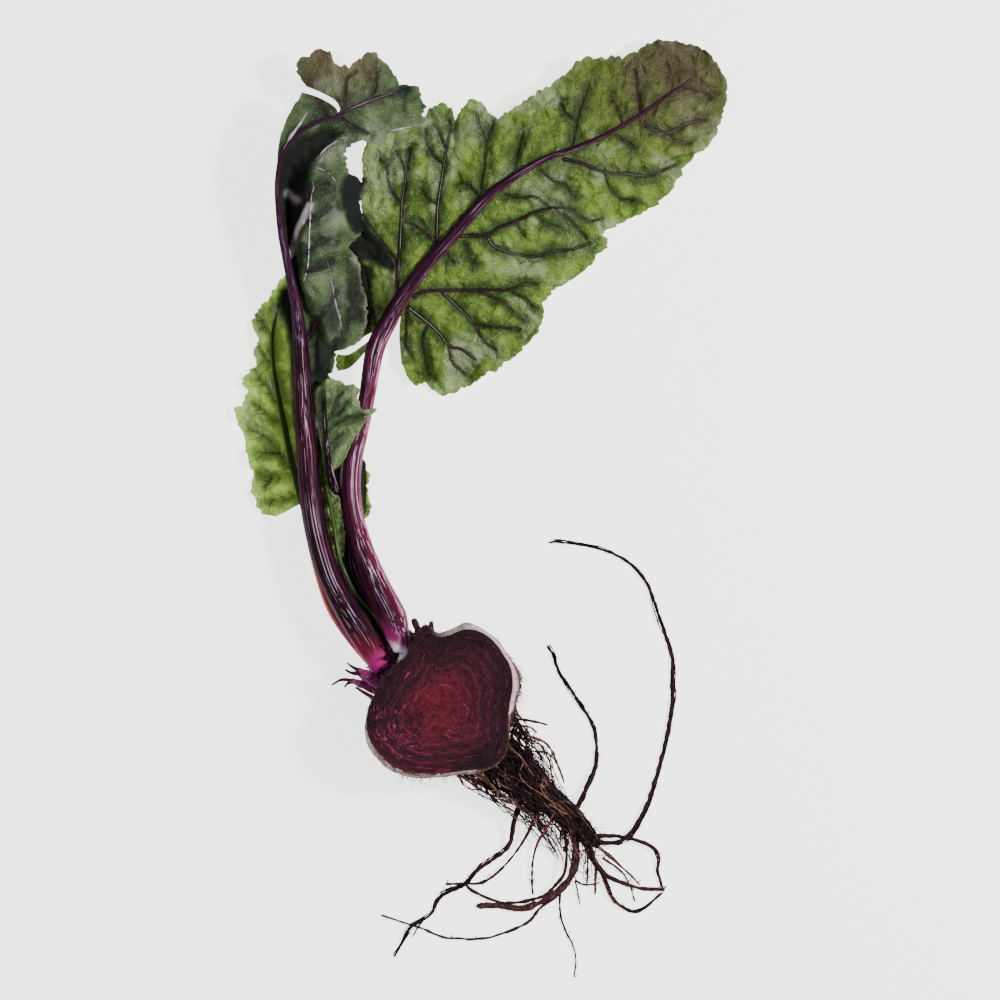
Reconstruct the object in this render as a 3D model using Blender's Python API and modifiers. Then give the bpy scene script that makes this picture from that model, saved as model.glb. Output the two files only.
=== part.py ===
# Half a beetroot, cut lengthwise, lying on its round back with the cut face up. Its leaves run
# off along +Y and its root tail along +X, -Y. Constants are in millimetres; Z is up. The origin
# is the middle of the flat spot that the bulb rests on.

import math
import random

import bmesh
import bpy
import numpy as np
from mathutils import Vector

MM = 0.001
GAP = 0.35            # clear space between two pieces that lie against each other
BLADE = 0.85          # thickness of every leaf blade
CUT_Z = 31.0          # height of the cut face
WIDEST_Z = 24.0       # height at which the bulb is widest
REST_RADIUS = 8.0     # flat spot under the bulb
BULB_SIDES = 48
SHARP = math.radians(50)
ROOT_SEED = 11
FIBRES = 40

# The bulb seen from above: its widest line, and the edge of its cut face, both as the same
# number of points taken round from the top.
WIDEST = [
    (0, 28), (8, 31.6), (13.2, 30.4), (18, 27.6), (22, 24), (25.2, 19.2), (27.8, 15.2),
    (30, 11.2), (30.4, 6), (29.2, 2), (28.4, -2), (27, -6), (26.4, -11.2), (25.8, -16.8),
    (24.4, -21.6), (20.8, -25.8), (14, -28.4), (6, -29.4), (-2, -30.4), (-12, -30.6),
    (-18, -29), (-22.8, -26.8), (-26.8, -23.2), (-30, -19.2), (-31.8, -14.4), (-32, -9.6),
    (-31.2, -4.4), (-29.6, 0), (-27.2, 4.8), (-24.8, 10), (-20.4, 14.6), (-15.6, 18.4),
    (-12.8, 24), (-10.6, 29), (-6.8, 31), (-3.6, 28),
]
CUT_EDGE = [
    (0.8, 25.4), (8, 28), (13.2, 28), (17.2, 26.2), (20.4, 23.2), (23.6, 18.8), (26, 14.4),
    (26.8, 9.6), (26.6, 5), (25.8, 1), (25, -3), (24.8, -6.6), (25.2, -11.2), (25.2, -16.2),
    (24, -20.6), (20.4, -24.4), (14, -26.4), (6, -27.2), (-2, -28), (-11.6, -28),
    (-17.4, -26.6), (-22, -23.8), (-25.6, -20), (-28.6, -16), (-30.6, -11), (-31, -7),
    (-30.2, -3), (-28.8, 0.4), (-26, 4.6), (-23.8, 9.4), (-19.8, 13.6), (-15, 17.2),
    (-12, 22.6), (-9.8, 27.6), (-6.8, 29.2), (-3.4, 25.4),
]
# share of the widest line and height of each ring of the bulb, from the rest spot up
BULB_RINGS = [(0.45, 1.7), (0.63, 4.4), (0.79, 8.6), (0.91, 13.6), (0.975, 19), (1, 24), (0.992, 28)]
CROWN = ((-17, 18, 15), (13, 12, 12.6))      # middle and radii of the swelling the leaves grow from
# stubs of old leaf stalks round the crown: points, then first and last radius
STUBS = [
    ([(-19, 6, 17), (-27, 8, 20), (-35, 12.4, 22)], 4.2, 1.5),
    ([(-33.5, 12, 21.5), (-36.5, 13.6, 22.5), (-39, 15.6, 23)], 0.9, 0.3),
    ([(-33, 11, 22), (-37, 11.4, 24), (-39.6, 12.8, 23)], 1.0, 0.4),
    ([(-20, 3, 14), (-30, 5.6, 18), (-37.5, 8.6, 20)], 3.0, 1.0),
    ([(-36, 8.2, 19.5), (-41, 8.6, 21), (-45, 6.4, 21)], 0.9, 0.25),
    ([(-34, 7.5, 18), (-38, 7.4, 18.5), (-40, 5.4, 18)], 1.2, 0.3),
    ([(-20, -4, 15), (-28, 1, 18), (-35.5, 5.6, 19)], 1.5, 0.5),
    ([(-8, 18, 19), (-9.5, 26, 22), (-12.5, 33, 23.5)], 3.0, 1.0),
    ([(-5, 20, 20), (-5.5, 27, 23), (-5.2, 32, 24.5)], 2.6, 0.9),
    ([(0, 18, 22), (1, 24, 25), (0.6, 27.6, 27)], 2.0, 0.6),
]

# Stalk and midrib of each leaf from the crown to the tip of the blade: points and radii.
LARGE_STALK = [
    (-16.8, 19, 22), (-20.8, 33, 20.5), (-27.2, 46, 18), (-32.4, 59, 16), (-35.8, 71.6, 14.6),
    (-37.5, 84, 13.4), (-36.8, 96, 12.6), (-33.6, 109, 12.2), (-30.9, 122, 12.2),
    (-27.8, 140, 13), (-22, 152, 13), (-18, 159.2, 13), (-8, 172.8, 14), (4, 186, 15),
    (16, 199.6, 16), (28, 208.8, 17), (40, 215.6, 18), (52, 220, 18), (64, 225.2, 17),
    (76.8, 232.8, 15), (88, 240.8, 12), (98, 248, 8),
]
LARGE_RADII = [
    3.2, 5.9, 5.4, 4.7, 4.1, 4.0, 4.0, 3.4, 3.2, 3.7, 3.4, 3.0, 2.6, 2.3, 1.9, 1.5, 1.25, 1.0,
    0.85, 0.65, 0.5, 0.3,
]
LONG_STALK = [
    (-24, 13, 19), (-34.5, 29.5, 18.6), (-44.2, 46, 17), (-49.4, 60, 16), (-52.6, 74, 15.5),
    (-54.4, 88, 15), (-55, 100, 15), (-56.2, 120, 15), (-56.8, 132, 15.5), (-57.6, 144, 16),
    (-58.8, 156, 17), (-60.8, 166, 18.5), (-62.8, 176, 20), (-64.8, 186, 22), (-66, 196, 24),
    (-66.4, 204, 26), (-66, 210, 27), (-64.8, 216, 28), (-62, 220, 28), (-58.8, 224, 27.5),
    (-54, 228, 27), (-48, 230.8, 26), (-42, 232.4, 25), (-38, 234.8, 24), (-32, 237.6, 22),
    (-26, 240, 20), (-20, 242, 18), (-17.2, 242.8, 17),
]
LONG_RADII = [
    4.9, 5.4, 4.4, 4.4, 4.3, 4.1, 4.1, 3.5, 3.3, 2.9, 2.2, 1.9, 1.7, 1.4, 1.1, 1.0, 0.9, 0.85,
    0.8, 0.75, 0.7, 0.65, 0.6, 0.55, 0.5, 0.45, 0.35, 0.25,
]
SIDE_STALK = [
    (-26, 12, 8.8), (-36, 24, 8.6), (-43.8, 35.2, 8.3), (-48.4, 46, 8), (-52.4, 60, 7.5),
    (-55.2, 74, 7), (-58, 84, 7), (-61.2, 96, 7), (-64, 110, 7), (-66.4, 122, 7),
    (-68.4, 134, 7), (-68.8, 146, 6.5), (-66.4, 158, 6),
]
SIDE_RADII = [2.4, 2.6, 2.5, 2.2, 1.9, 1.7, 1.5, 1.3, 1.1, 0.9, 0.7, 0.5, 0.3]
SMALL_STALK = [
    (-24.5, 21.6, 13.5), (-31, 35, 12), (-37, 50, 11), (-41, 66, 10), (-43.2, 80, 10.8),
    (-45.6, 92, 18), (-47.2, 104, 18), (-48, 116, 18), (-48, 123.2, 17.5),
]
SMALL_RADII = [1.4, 2.0, 2.3, 1.9, 1.2, 1.0, 0.9, 0.6, 0.3]
YOUNG_STALK = [
    (-22.8, 23.5, 16), (-29.4, 33.8, 16), (-35.4, 42.2, 16), (-40.8, 53.6, 15.6), (-42.8, 62, 15.6),
    (-44.4, 72, 15.6), (-46.2, 81.2, 15.4), (-47.6, 87, 14.4),
]
YOUNG_RADII = [1.2, 1.2, 1.1, 1.0, 0.8, 0.65, 0.4, 0.25]
BACK_STALK = [
    (-18, 20, 9), (-22.8, 34, 8.5), (-29.2, 50, 8), (-33.6, 62, 7), (-35.2, 72, 6),
    (-35.2, 80, 6), (-34.8, 88, 6), (-34.4, 94, 5.5),
]
BACK_RADII = [1.6, 1.5, 1.4, 1.2, 1.0, 0.8, 0.5, 0.3]

# Each blade is drawn as ribs that leave the midrib at a place counted along its points and end
# on the margin, the way its side veins run: (place, inner points, point on the margin).
LARGE_RIGHT = [
    (11.0, (-18.2, 146, 7), (-17.4, 135, 5)),
    (11.02, (-15.4, 144, 6.5), (-13, 126.8, 3)),
    (11.05, (-12.6, 143.2, 6.5), (-8, 127, 2.5)),
    (11.1, (-8.4, 142, 6), (-2, 122.2, -0.4)),
    (11.15, (-5.2, 142.8, 7), (6, 124, 2)),
    (11.2, (-2, 146, 7.5), (14, 128.6, 3.5)),
    (11.3, (2, 146.4, 8), (18, 131.2, 5.5)),
    (11.4, (4.6, 150, 8.5), (24.8, 135.2, 4.5)),
    (11.5, (7, 154, 9), (34.4, 144, 6.5)),
    (11.65, (10, 158, 9.5), (38.8, 151.6, 5)),
    (11.8, (11.6, 163.2, 9.5), (39.6, 158.8, 7)),
    (12.1, (16.8, 168, 10), (42.8, 163.4, 4)),
    (12.5, (22, 174.4, 10.5), (54.8, 171, 3)),
    (12.85, (26, 180, 11), (61.2, 178.2, 2)),
    (13.1, (30.8, 185.6, 11.5), (65.4, 182.8, -0.4)),
    (13.5, (36.8, 191.4, 13), (63.6, 186.8, 6)),
    (13.9, (42, 196.6, 13.5), (74, 192.4, 7)),
    (14.3, (45.6, 200.4, 14), (80.8, 196, 5)),
    (14.8, (50, 203.6, 14.5), (86.8, 200, 7)),
    (15.4, (56, 206.8, 15), (91.6, 206, 5)),
    (16.0, (63.2, 209.6, 15), (95.6, 212.6, 7)),
    (16.6, (70.8, 212.8, 14.5), (100.4, 218.2, 4.5)),
    (17.4, (77.2, 217.2, 14), (105.8, 222, 5)),
    (18.2, (84, 222, 13), (109.6, 229.6, 3)),
    (19.0, (90.8, 228, 11.5), (112, 236.8, 4)),
    (19.8, (98.4, 234, 9), (112.8, 243.6, 2.5)),
    (20.4, (102.6, 240.4, 7), (111.2, 250.6, 1)),
    (20.8, (103.4, 247.4, 5.5), (107, 256.6, 0.8)),
]
LARGE_LEFT = [
    (9.2, (-37.2, 133.4, 5), (-42.8, 131.6, 4)),
    (9.4, (-37.2, 138.6, 5), (-43.4, 138, 5.5)),
    (9.6, (-34.8, 144.4, 4.8), (-41.2, 143.4, 5)),
    (9.8, (-32.6, 154, 5), (-40, 154, 5)),
    (10.0, (-31, 164, 5.5), (-38.8, 168, 5)),
    (10.25, (-28.8, 171.2, 6), (-37.2, 180, 5.5)),
    (10.6, (-24.8, 176.8, 7), (-35.6, 188, 6)),
    (10.9, (-21.4, 179.4, 8.5), (-33.6, 195.2, 9)),
    (11.1, (-19.6, 186, 8.5), (-33.2, 202.4, 8)),
    (11.3, (-18, 192, 9), (-32.8, 210, 7.5)),
    (11.5, (-17, 198, 9.5), (-31, 218.6, 6)),
    (11.8, (-14.6, 202, 10), (-22.4, 223.2, 6.5)),
    (12.0, (-12, 204, 10.5), (-16, 227.4, 7)),
    (12.3, (-7.6, 204.8, 11), (-8.6, 233.2, 6.5)),
    (12.5, (-2.8, 204.8, 11.5), (-3.2, 237.6, 8)),
    (12.75, (0.8, 206.4, 12), (2, 236.4, 9)),
    (13.0, (4.4, 208.8, 12.5), (4.2, 231.6, 10)),
    (13.4, (9.2, 212.8, 13), (8, 237.2, 11)),
    (13.8, (14.8, 216.8, 14), (13.2, 239.2, 12)),
    (14.1, (18.4, 216.8, 14.5), (17.2, 234.8, 13.5)),
    (14.5, (22, 218, 15), (21.4, 231.8, 13)),
    (14.9, (27.6, 221.2, 14), (25.2, 234.6, 10)),
    (15.3, (33.2, 224.8, 14.5), (30, 237.6, 10)),
    (15.7, (38.4, 228, 15), (36, 241.6, 11)),
    (16.1, (43.2, 231.2, 15.5), (42, 245.2, 12)),
    (16.5, (47.2, 234, 15.5), (48.4, 250, 11)),
    (16.8, (51.6, 236.8, 15.5), (54.4, 255.4, 12)),
    (17.4, (58.8, 239.2, 15), (62, 256.4, 10)),
    (18.0, (66.4, 242, 14.5), (70.8, 256.4, 11)),
    (18.6, (72.8, 245.2, 13.5), (76.8, 259.2, 9)),
    (19.1, (78.8, 248, 12), (82, 262.4, 9.5)),
    (19.7, (84.8, 251.2, 10), (88.4, 263.2, 7)),
    (20.3, (91.2, 253.6, 7), (95.2, 262.6, 4)),
]
LARGE_TIP = [(100, 254.4, 4), (102, 261, -0.4)]

LONG_RIGHT = [
    (7.2, (-53.6, 123, 10), (-52, 122.2, 9.8), (-50.4, 121.2, 9.4)),
    (7.6, (-53, 127, 10.4), (-50, 126.6, 10.4), (-46, 125.4, 10)),
    (8.0, (-52.8, 130.4, 11), (-49.6, 130.2, 11.4), (-45.6, 129.6, 11)),
    (8.3, (-53, 133.6, 11.6), (-49.2, 134, 12.6), (-44.4, 133.4, 12)),
    (8.8, (-53.2, 139, 12), (-49, 139.6, 14), (-43.4, 138.8, 13)),
    (9.3, (-54, 145, 12.5), (-48, 145.6, 15.5), (-38, 142.8, 11.5)),
    (9.8, (-54.8, 152, 12.5), (-47.6, 152.8, 17), (-32.8, 148, 10.5)),
    (10.4, (-56.4, 159, 12.5), (-51.2, 160, 18.5), (-31.2, 156.4, 10)),
    (11.1, (-58.4, 167.4, 13), (-54.6, 168.8, 20.5), (-32.8, 165.6, 10.5)),
    (12.0, (-59.8, 176, 14), (-54.2, 177.2, 22), (-34.4, 175.2, 12)),
    (12.8, (-61, 184, 15.5), (-53.6, 184.8, 23.5), (-38, 180.6, 14)),
    (13.4, (-61.8, 191.2, 17), (-53.2, 191.2, 25), (-33.6, 186.6, 14)),
    (14.1, (-62.2, 197.6, 18.5), (-52.8, 197.6, 26.5), (-34, 191.6, 15)),
    (14.9, (-62.6, 204, 20), (-52.4, 203.6, 27.5), (-33.6, 198.6, 15.5)),
    (15.7, (-61.8, 209.2, 21.5), (-51.6, 208, 27.6), (-33, 205.6, 16.5)),
    (16.3, (-60.4, 212.8, 22.5), (-50.6, 211.4, 26.6), (-37.4, 209.8, 19)),
    (17.1, (-58, 215.6, 22.5), (-49.6, 215.4, 24), (-38.8, 213, 20)),
    (18.1, (-55.2, 219.2, 22.5), (-47.2, 219.2, 22.5), (-39.2, 217.4, 21)),
    (19.3, (-51.6, 222.8, 22.5), (-44.4, 222.8, 22), (-37.6, 220.8, 22)),
    (20.4, (-47.2, 225.6, 22), (-40.8, 225.2, 21.5), (-33.2, 223, 19)),
    (21.3, (-42, 227.6, 21.5), (-35.6, 225.6, 20), (-26, 221.2, 16)),
    (22.3, (-36.8, 229.6, 21), (-30.4, 227.6, 19.5), (-22, 225.4, 16.5)),
    (23.3, (-31.6, 232.4, 20), (-24.8, 230.4, 18.5), (-16, 227.6, 15)),
    (24.4, (-26.4, 235.2, 18.5), (-19.6, 232.8, 17.5), (-9.2, 229.8, 15.5)),
    (25.4, (-21.6, 237.2, 17.5), (-16.4, 236, 16.5), (-8.8, 234, 15)),
    (26.3, (-17.8, 239.8, 16.5), (-14, 239, 16), (-8.8, 238.4, 15.5)),
]
LONG_LEFT = [
    (9.6, (-56.4, 152, 12), (-54.8, 151.4, 10), (-53.6, 150.8, 8)),
    (11.0, (-59.6, 166, 14.5), (-58.4, 166, 12), (-57, 166, 9.5)),
    (12.5, (-62.6, 181, 17), (-61.4, 181, 14.5), (-60, 181, 12)),
    (14.0, (-65.4, 196, 20.5), (-64.4, 196, 18), (-63, 196, 16)),
    (15.3, (-66.2, 206, 24), (-65.8, 206.4, 22), (-65, 207, 20)),
    (16.3, (-66.2, 212, 25.4), (-66.2, 213, 24.6), (-66, 214.4, 23.4)),
    (17.0, (-65.6, 217.6, 26.4), (-65.8, 219.4, 25.8), (-65.4, 222, 24.8)),
    (18.0, (-63.2, 222, 26.4), (-64, 224.6, 25.6), (-63.8, 228, 24.5)),
    (19.0, (-60.4, 226.6, 26), (-61.4, 230, 25), (-61.2, 234, 24)),
    (20.0, (-56, 230.8, 25.4), (-57.4, 234.8, 24.6), (-58, 239.2, 23)),
    (21.0, (-50.6, 233.6, 24.8), (-52.8, 237.2, 23.8), (-55.8, 241.2, 22)),
    (22.0, (-43.6, 236, 23.8), (-50, 239.8, 22.8), (-56.2, 241.8, 22)),
    (22.3, (-43, 238.2, 23.2), (-48.6, 241.6, 22), (-55.4, 244.6, 20)),
    (22.45, (-43.8, 240.6, 22.6), (-51, 247.2, 20.6), (-59.2, 252, 18)),
    (22.6, (-43.6, 242.2, 22.6), (-49.6, 250.6, 20), (-54.4, 257.2, 17)),
    (22.8, (-42.4, 242.4, 22.6), (-45, 250.6, 20), (-46.4, 258.8, 18)),
    (23.1, (-40.2, 241.6, 22.4), (-42, 247.6, 20.6), (-43.6, 253.2, 19)),
    (23.4, (-38, 242, 22), (-38.2, 247.4, 20.6), (-38, 252.4, 19)),
    (23.9, (-34.6, 243.8, 21), (-34.2, 250.4, 19.4), (-33.2, 256, 17)),
    (24.4, (-31.2, 245.4, 20), (-30.4, 252.2, 18.4), (-29.2, 258.4, 16)),
    (25.0, (-27.6, 245.8, 19), (-26.2, 250.6, 17.6), (-24.8, 254.8, 15.5)),
    (25.7, (-23.4, 245, 18), (-22, 247.6, 17), (-20.4, 250, 15.4)),
    (26.4, (-19.6, 243.8, 16.8), (-18.8, 244.6, 16.4), (-17.8, 245.6, 16)),
]
LONG_TIP = [(-15.2, 243.3, 15.8), (-13.2, 244, 15.8), (-10.8, 244.8, 15.5)]
LONG_TEARS = [11]      # the left half is torn from its margin inwards after this rib

SIDE_LEFT = [
    (5.5, (-61.2, 76.6, 4.5), (-67.6, 73.4, 2.5)),
    (5.8, (-64.4, 80, 4), (-72.8, 75.2, 2)),
    (6.1, (-66, 84, 4), (-76.4, 82, 2.5)),
    (6.5, (-68, 89.2, 4.5), (-77.2, 90.4, 1)),
    (6.9, (-70, 95.2, 5), (-78.4, 95.6, 2.5)),
    (7.3, (-71.6, 102.8, 5), (-80.4, 105.2, -0.4)),
    (7.7, (-72.8, 110, 5.5), (-83.6, 114.8, 2)),
    (8.1, (-73.2, 116, 5.5), (-80.8, 118.4, 3.5)),
    (8.5, (-72.8, 121.2, 5.5), (-78.8, 123.6, 1.5)),
    (8.9, (-73.2, 127.2, 5.5), (-80.8, 128, 2.5)),
    (9.4, (-72, 132.8, 5.5), (-75.2, 134, 3.5)),
    (9.9, (-71.6, 139.2, 5), (-76.4, 140, 2)),
    (10.4, (-71.2, 143.2, 4.8), (-74, 144.4, 3.5)),
    (10.9, (-72, 148.8, 4.5), (-77.2, 150, 2)),
    (11.3, (-70.6, 153.4, 4.5), (-75.2, 155.6, 2.5)),
    (11.7, (-68, 157.6, 4.5), (-70, 160.4, 3)),
    (11.9, (-66.6, 160.6, 4.3), (-67.6, 165.2, 3.4)),
]
SIDE_RIGHT = [
    (5.5, (-57, 78.4, 4), (-55.6, 79.6, 4)),
    (6.5, (-57, 90, 4.4), (-54.6, 91.2, 5)),
    (7.5, (-59.6, 103.2, 4.4), (-56, 104.8, 5.2)),
    (8.5, (-62.2, 116.4, 4.4), (-57.8, 117.8, 5.2)),
    (9.5, (-64.4, 128.6, 4.4), (-59.4, 130.2, 5.2)),
    (10.5, (-65.8, 140.8, 4.4), (-60.6, 143.2, 5)),
    (11.2, (-65.4, 149.4, 4.3), (-61.4, 153, 4.5)),
    (11.7, (-64.6, 156.2, 4.2), (-62.2, 163.4, 4)),
]
SIDE_TIP = [(-64.6, 163.6, 4), (-63.2, 171, 3.6)]

SMALL_RIGHT = [
    (4.9, (-43.4, 92.2, 16.6), (-42, 93.4, 16.8)),
    (5.2, (-41.6, 97.2, 16.8), (-38.4, 99.2, 17.4)),
    (5.6, (-41.2, 102.4, 17), (-35.6, 105.2, 17.6)),
    (6.0, (-40, 108, 17.4), (-31.2, 112, 18.2)),
    (6.4, (-38, 112.4, 18), (-26.8, 116.4, 18.8)),
    (6.7, (-39.6, 115.6, 17.8), (-33, 115.8, 19)),
    (7.0, (-40.4, 119.2, 17.6), (-34.4, 120.8, 18)),
    (7.3, (-41.2, 121.8, 17.2), (-35.2, 125.4, 16.6)),
    (7.6, (-42.8, 123.8, 16.8), (-39.6, 125.8, 16)),
    (7.85, (-44.8, 125, 16.4), (-43.4, 128, 15.6)),
]
SMALL_LEFT = [
    (4.9, (-47, 90.6, 16.4), (-47.8, 91, 16.2)),
    (6.0, (-48.8, 103.6, 16.6), (-50, 103.2, 16)),
    (7.0, (-49.8, 115.6, 16.8), (-51, 115.2, 16)),
    (7.7, (-49.4, 121.4, 16.6), (-50.4, 122, 16)),
]
SMALL_TIP = [(-47.6, 125.4, 16.2), (-46.8, 128, 15.4)]

YOUNG_LEFT = [
    (3.1, (-42.8, 56.8, 14.4), (-43.6, 57.6, 15)),
    (3.6, (-44.4, 60, 14.4), (-44.9, 61.6, 15.2)),
    (4.1, (-45, 64.8, 14.8), (-46.2, 67.6, 14.8)),
    (4.6, (-46, 70, 15), (-47.3, 72.4, 15.8)),
    (5.1, (-46.6, 75.2, 15.2), (-47.9, 76.4, 15)),
    (5.6, (-47.2, 80, 14.4), (-48.9, 82, 14.8)),
    (6.1, (-48, 84.8, 14.2), (-49.4, 86.8, 13.6)),
    (6.5, (-48.7, 87.6, 13.8), (-49.4, 90.4, 13.4)),
]
YOUNG_RIGHT = [
    (3.1, (-41.2, 56.2, 14.4), (-40.4, 57.6, 14.8)),
    (3.7, (-41.2, 60, 14.4), (-39.8, 62, 15.2)),
    (4.3, (-41.6, 66, 14.6), (-40.1, 69.2, 15.4)),
    (4.8, (-42.6, 71.6, 15), (-41, 73.2, 14.4)),
    (5.2, (-43, 75.2, 15.3), (-41.6, 76.8, 15.8)),
    (5.6, (-43.8, 78.8, 15.2), (-42.1, 80.8, 15.4)),
    (6.0, (-45.2, 81.8, 15.2), (-44.8, 82.8, 15.6)),
    (6.5, (-46.7, 86.6, 14.6), (-46.5, 88.2, 14.4)),
]
YOUNG_TIP = [(-48.1, 91, 13.6), (-48, 93, 13.4)]

BACK_RIGHT = [
    (3.8, (-33.4, 71.2, 4), (-31.6, 72.8, 3.5)),
    (4.4, (-32.4, 76.8, 4), (-29.6, 76, 3)),
    (5.0, (-32.8, 82, 4), (-30.4, 82.8, 3.5)),
    (5.6, (-32.6, 86, 4.2), (-31.2, 85.6, 4)),
    (6.2, (-32.4, 89, 4), (-29.6, 88.4, 3)),
    (6.7, (-32.8, 91.8, 3.8), (-31.2, 92.2, 3.2)),
]
BACK_LEFT = [
    (3.8, (-37.4, 72, 4), (-39.2, 73.6, 3.5)),
    (5.0, (-38.2, 80.8, 4), (-41.2, 82.4, 3.5)),
    (6.0, (-37.6, 88.8, 4), (-40, 90.4, 3.5)),
    (6.6, (-36.4, 92.8, 3.8), (-38, 94.8, 3.5)),
]
BACK_TIP = [(-33.6, 95.4, 3.8), (-33, 97, 3.5)]

# The root tail, then its long roots: points, then first and last radius.
TAIL = [
    (17, -17.5, 18.5), (24, -24, 17), (30, -30, 15), (38, -38, 12.5), (46, -46, 10),
    (52, -52.8, 8), (59, -57.6, 6), (63.6, -58.4, 5),
]
TAIL_RADII = [7.4, 8.8, 7.8, 6.2, 4.8, 3.6, 2.4, 1.2]
LONG_ROOTS = [
    ([(60, -57, 6), (70.8, -56, 3), (78.8, -46, 1.5), (84, -32, 0.6), (89.2, -12, 0.6),
      (91.2, 4, 0.6), (90.4, 18, 0.6), (86, 32, 0.6), (81.2, 46, 0.6), (74, 54.8, 0.6),
      (62, 60.4, 0.6), (46, 63.2, 0.5), (41.6, 62.8, 0.4)], 0.95, 0.45),
    ([(49, -47, 9), (54, -40, 5), (58, -32, 2.6), (60.6, -24, 1), (59.6, -12, 0.7),
      (54, -1.2, 0.6), (46, 10.8, 0.6), (43.2, 18, 0.5), (40.8, 21.6, 0.4)], 1.0, 0.4),
    ([(56, -55, 7), (64, -54, 5), (72, -54.8, 3), (82, -58, 1.5), (85.6, -62.8, 1),
      (85.2, -68, 0.8), (87.2, -76, 0.6)], 0.85, 0.5),
    ([(56, -57, 6), (58.4, -62, 4), (62, -67.2, 2.4), (66.8, -71.2, 1.4), (78, -75.2, 1.1),
      (88, -75.6, 0.9)], 1.0, 0.7),
    ([(58, -58, 6), (60, -64.8, 4), (63.2, -70.4, 2), (67.6, -80, 0.9), (76.8, -84.4, 0.7),
      (86.8, -77.2, 0.7)], 0.9, 0.55),
    ([(60, -57.5, 5.5), (68, -64, 3), (73.2, -68.8, 2), (78, -74, 1.6)], 0.75, 0.4),
    ([(50, -50, 8), (52, -58, 5), (51.2, -68, 3), (48, -74, 2), (43.2, -78, 1.5),
      (32, -83.2, 1.2), (20, -82, 1.1), (12.4, -82.4, 1.0)], 1.5, 1.1),
    ([(47, -48, 8), (48.4, -58, 6), (48, -68, 5), (44, -74, 4.2), (38, -78.8, 3.6),
      (24, -81, 2.8), (12, -76.8, 1.2), (8, -73.6, 0.8)], 0.8, 0.6),
    ([(32, -36, 9), (28, -48, 5.5), (25.2, -58.8, 3), (14, -67.2, 1.5), (7.6, -73.6, 1),
      (-2, -78.4, 0.8), (-6, -86, 0.7), (-13.2, -90.4, 0.7), (-17.2, -97.2, 0.5),
      (-20.4, -102.8, 0.35)], 0.95, 0.35),
    ([(38, -41, 8), (34, -51.2, 5), (28.8, -60, 4), (22, -68, 2.6), (15.2, -72.8, 1.8),
      (7.6, -73.4, 1.2), (0, -73.6, 0.7)], 0.8, 0.5),
    ([(48, -75, 2.4), (43, -79.6, 2), (38, -83.2, 1.6), (32, -89.6, 0.8), (16, -95.2, 0.6),
      (0, -94.8, 0.6), (-10.8, -90.8, 0.8), (-25.6, -86, 0.5)], 0.65, 0.4),
    ([(46, -76, 2.2), (46, -84, 1), (47.2, -90, 0.6), (51.2, -98, 0.5), (52.4, -104, 0.4),
      (51.6, -110.8, 0.35)], 0.5, 0.3),
    ([(42, -40, 13), (44, -44, 12.6), (40.6, -51, 7), (37.2, -56.8, 4), (35.2, -64, 2),
      (34.8, -72, 1), (35.2, -78, 0.6)], 0.65, 0.4),
]
# roots that leave the bulb itself beside the tail
BULB_ROOTS = [
    ([(22, -11, 20), (33, -13.6, 18), (38.6, -15.6, 15.5), (42.4, -19.6, 13), (45.6, -27, 11),
      (47.4, -32, 9)], 0.8, 0.45),
    ([(22, -7, 20), (28, -7.2, 18.6), (34, -7.6, 17), (41.2, -9.6, 14)], 0.9, 0.35),
    ([(22, -9, 17), (29, -9.6, 15.4), (34, -10.6, 13.4), (37, -13, 10)], 0.8, 0.35),
]


def curve_at(points, place):
    """Point of a smooth curve through the points, counted along them from 0."""
    last = len(points) - 1
    place = min(max(place, 0.0), float(last))
    i = min(int(place), last - 1)
    t = place - i
    b = np.array(points[i], float)
    c = np.array(points[i + 1], float)
    a = np.array(points[i - 1], float) if i > 0 else 2 * b - c
    d = np.array(points[i + 2], float) if i + 2 <= last else 2 * c - b
    return 0.5 * (2 * b + (c - a) * t + (2 * a - 5 * b + 4 * c - d) * t * t
                  + (3 * b - a - 3 * c + d) * t ** 3)


def value_at(values, place):
    return float(np.interp(place, range(len(values)), values))


def material(name, colour, roughness):
    mat = bpy.data.materials.new(name)
    mat.use_nodes = True
    bsdf = mat.node_tree.nodes["Principled BSDF"]
    bsdf.inputs["Base Color"].default_value = (*colour, 1.0)
    bsdf.inputs["Roughness"].default_value = roughness
    mat.diffuse_color = (*colour, 1.0)
    return mat


def to_object(name, bm, collection, mat=None):
    """Closed mesh in millimetres to an object in metres."""
    bmesh.ops.scale(bm, vec=(MM, MM, MM), verts=bm.verts)
    bmesh.ops.recalc_face_normals(bm, faces=bm.faces)
    mesh = bpy.data.meshes.new(name)
    bm.to_mesh(mesh)
    bm.free()
    mesh.shade_smooth()
    mesh.set_sharp_from_angle(angle=SHARP)
    if mat:
        mesh.materials.append(mat)
    obj = bpy.data.objects.new(name, mesh)
    collection.objects.link(obj)
    return obj


def apply_modifiers(obj):
    deps = bpy.context.evaluated_depsgraph_get()
    mesh = bpy.data.meshes.new_from_object(obj.evaluated_get(deps))
    obj.modifiers.clear()
    old = obj.data
    obj.data = mesh
    bpy.data.meshes.remove(old)


def combine(obj, others, operation):
    """Boolean of the object with every solid of a list at once; the list is used up."""
    group = bpy.data.collections.new(obj.name + "_" + operation.lower())
    for other in others:
        group.objects.link(other)
    mod = obj.modifiers.new("combine", "BOOLEAN")
    mod.operation = operation
    mod.operand_type = "COLLECTION"
    mod.collection = group
    mod.solver = "EXACT"
    mod.use_self = operation == "UNION"
    apply_modifiers(obj)
    for other in others:
        bpy.data.objects.remove(other)
    bpy.data.collections.remove(group)


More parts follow.
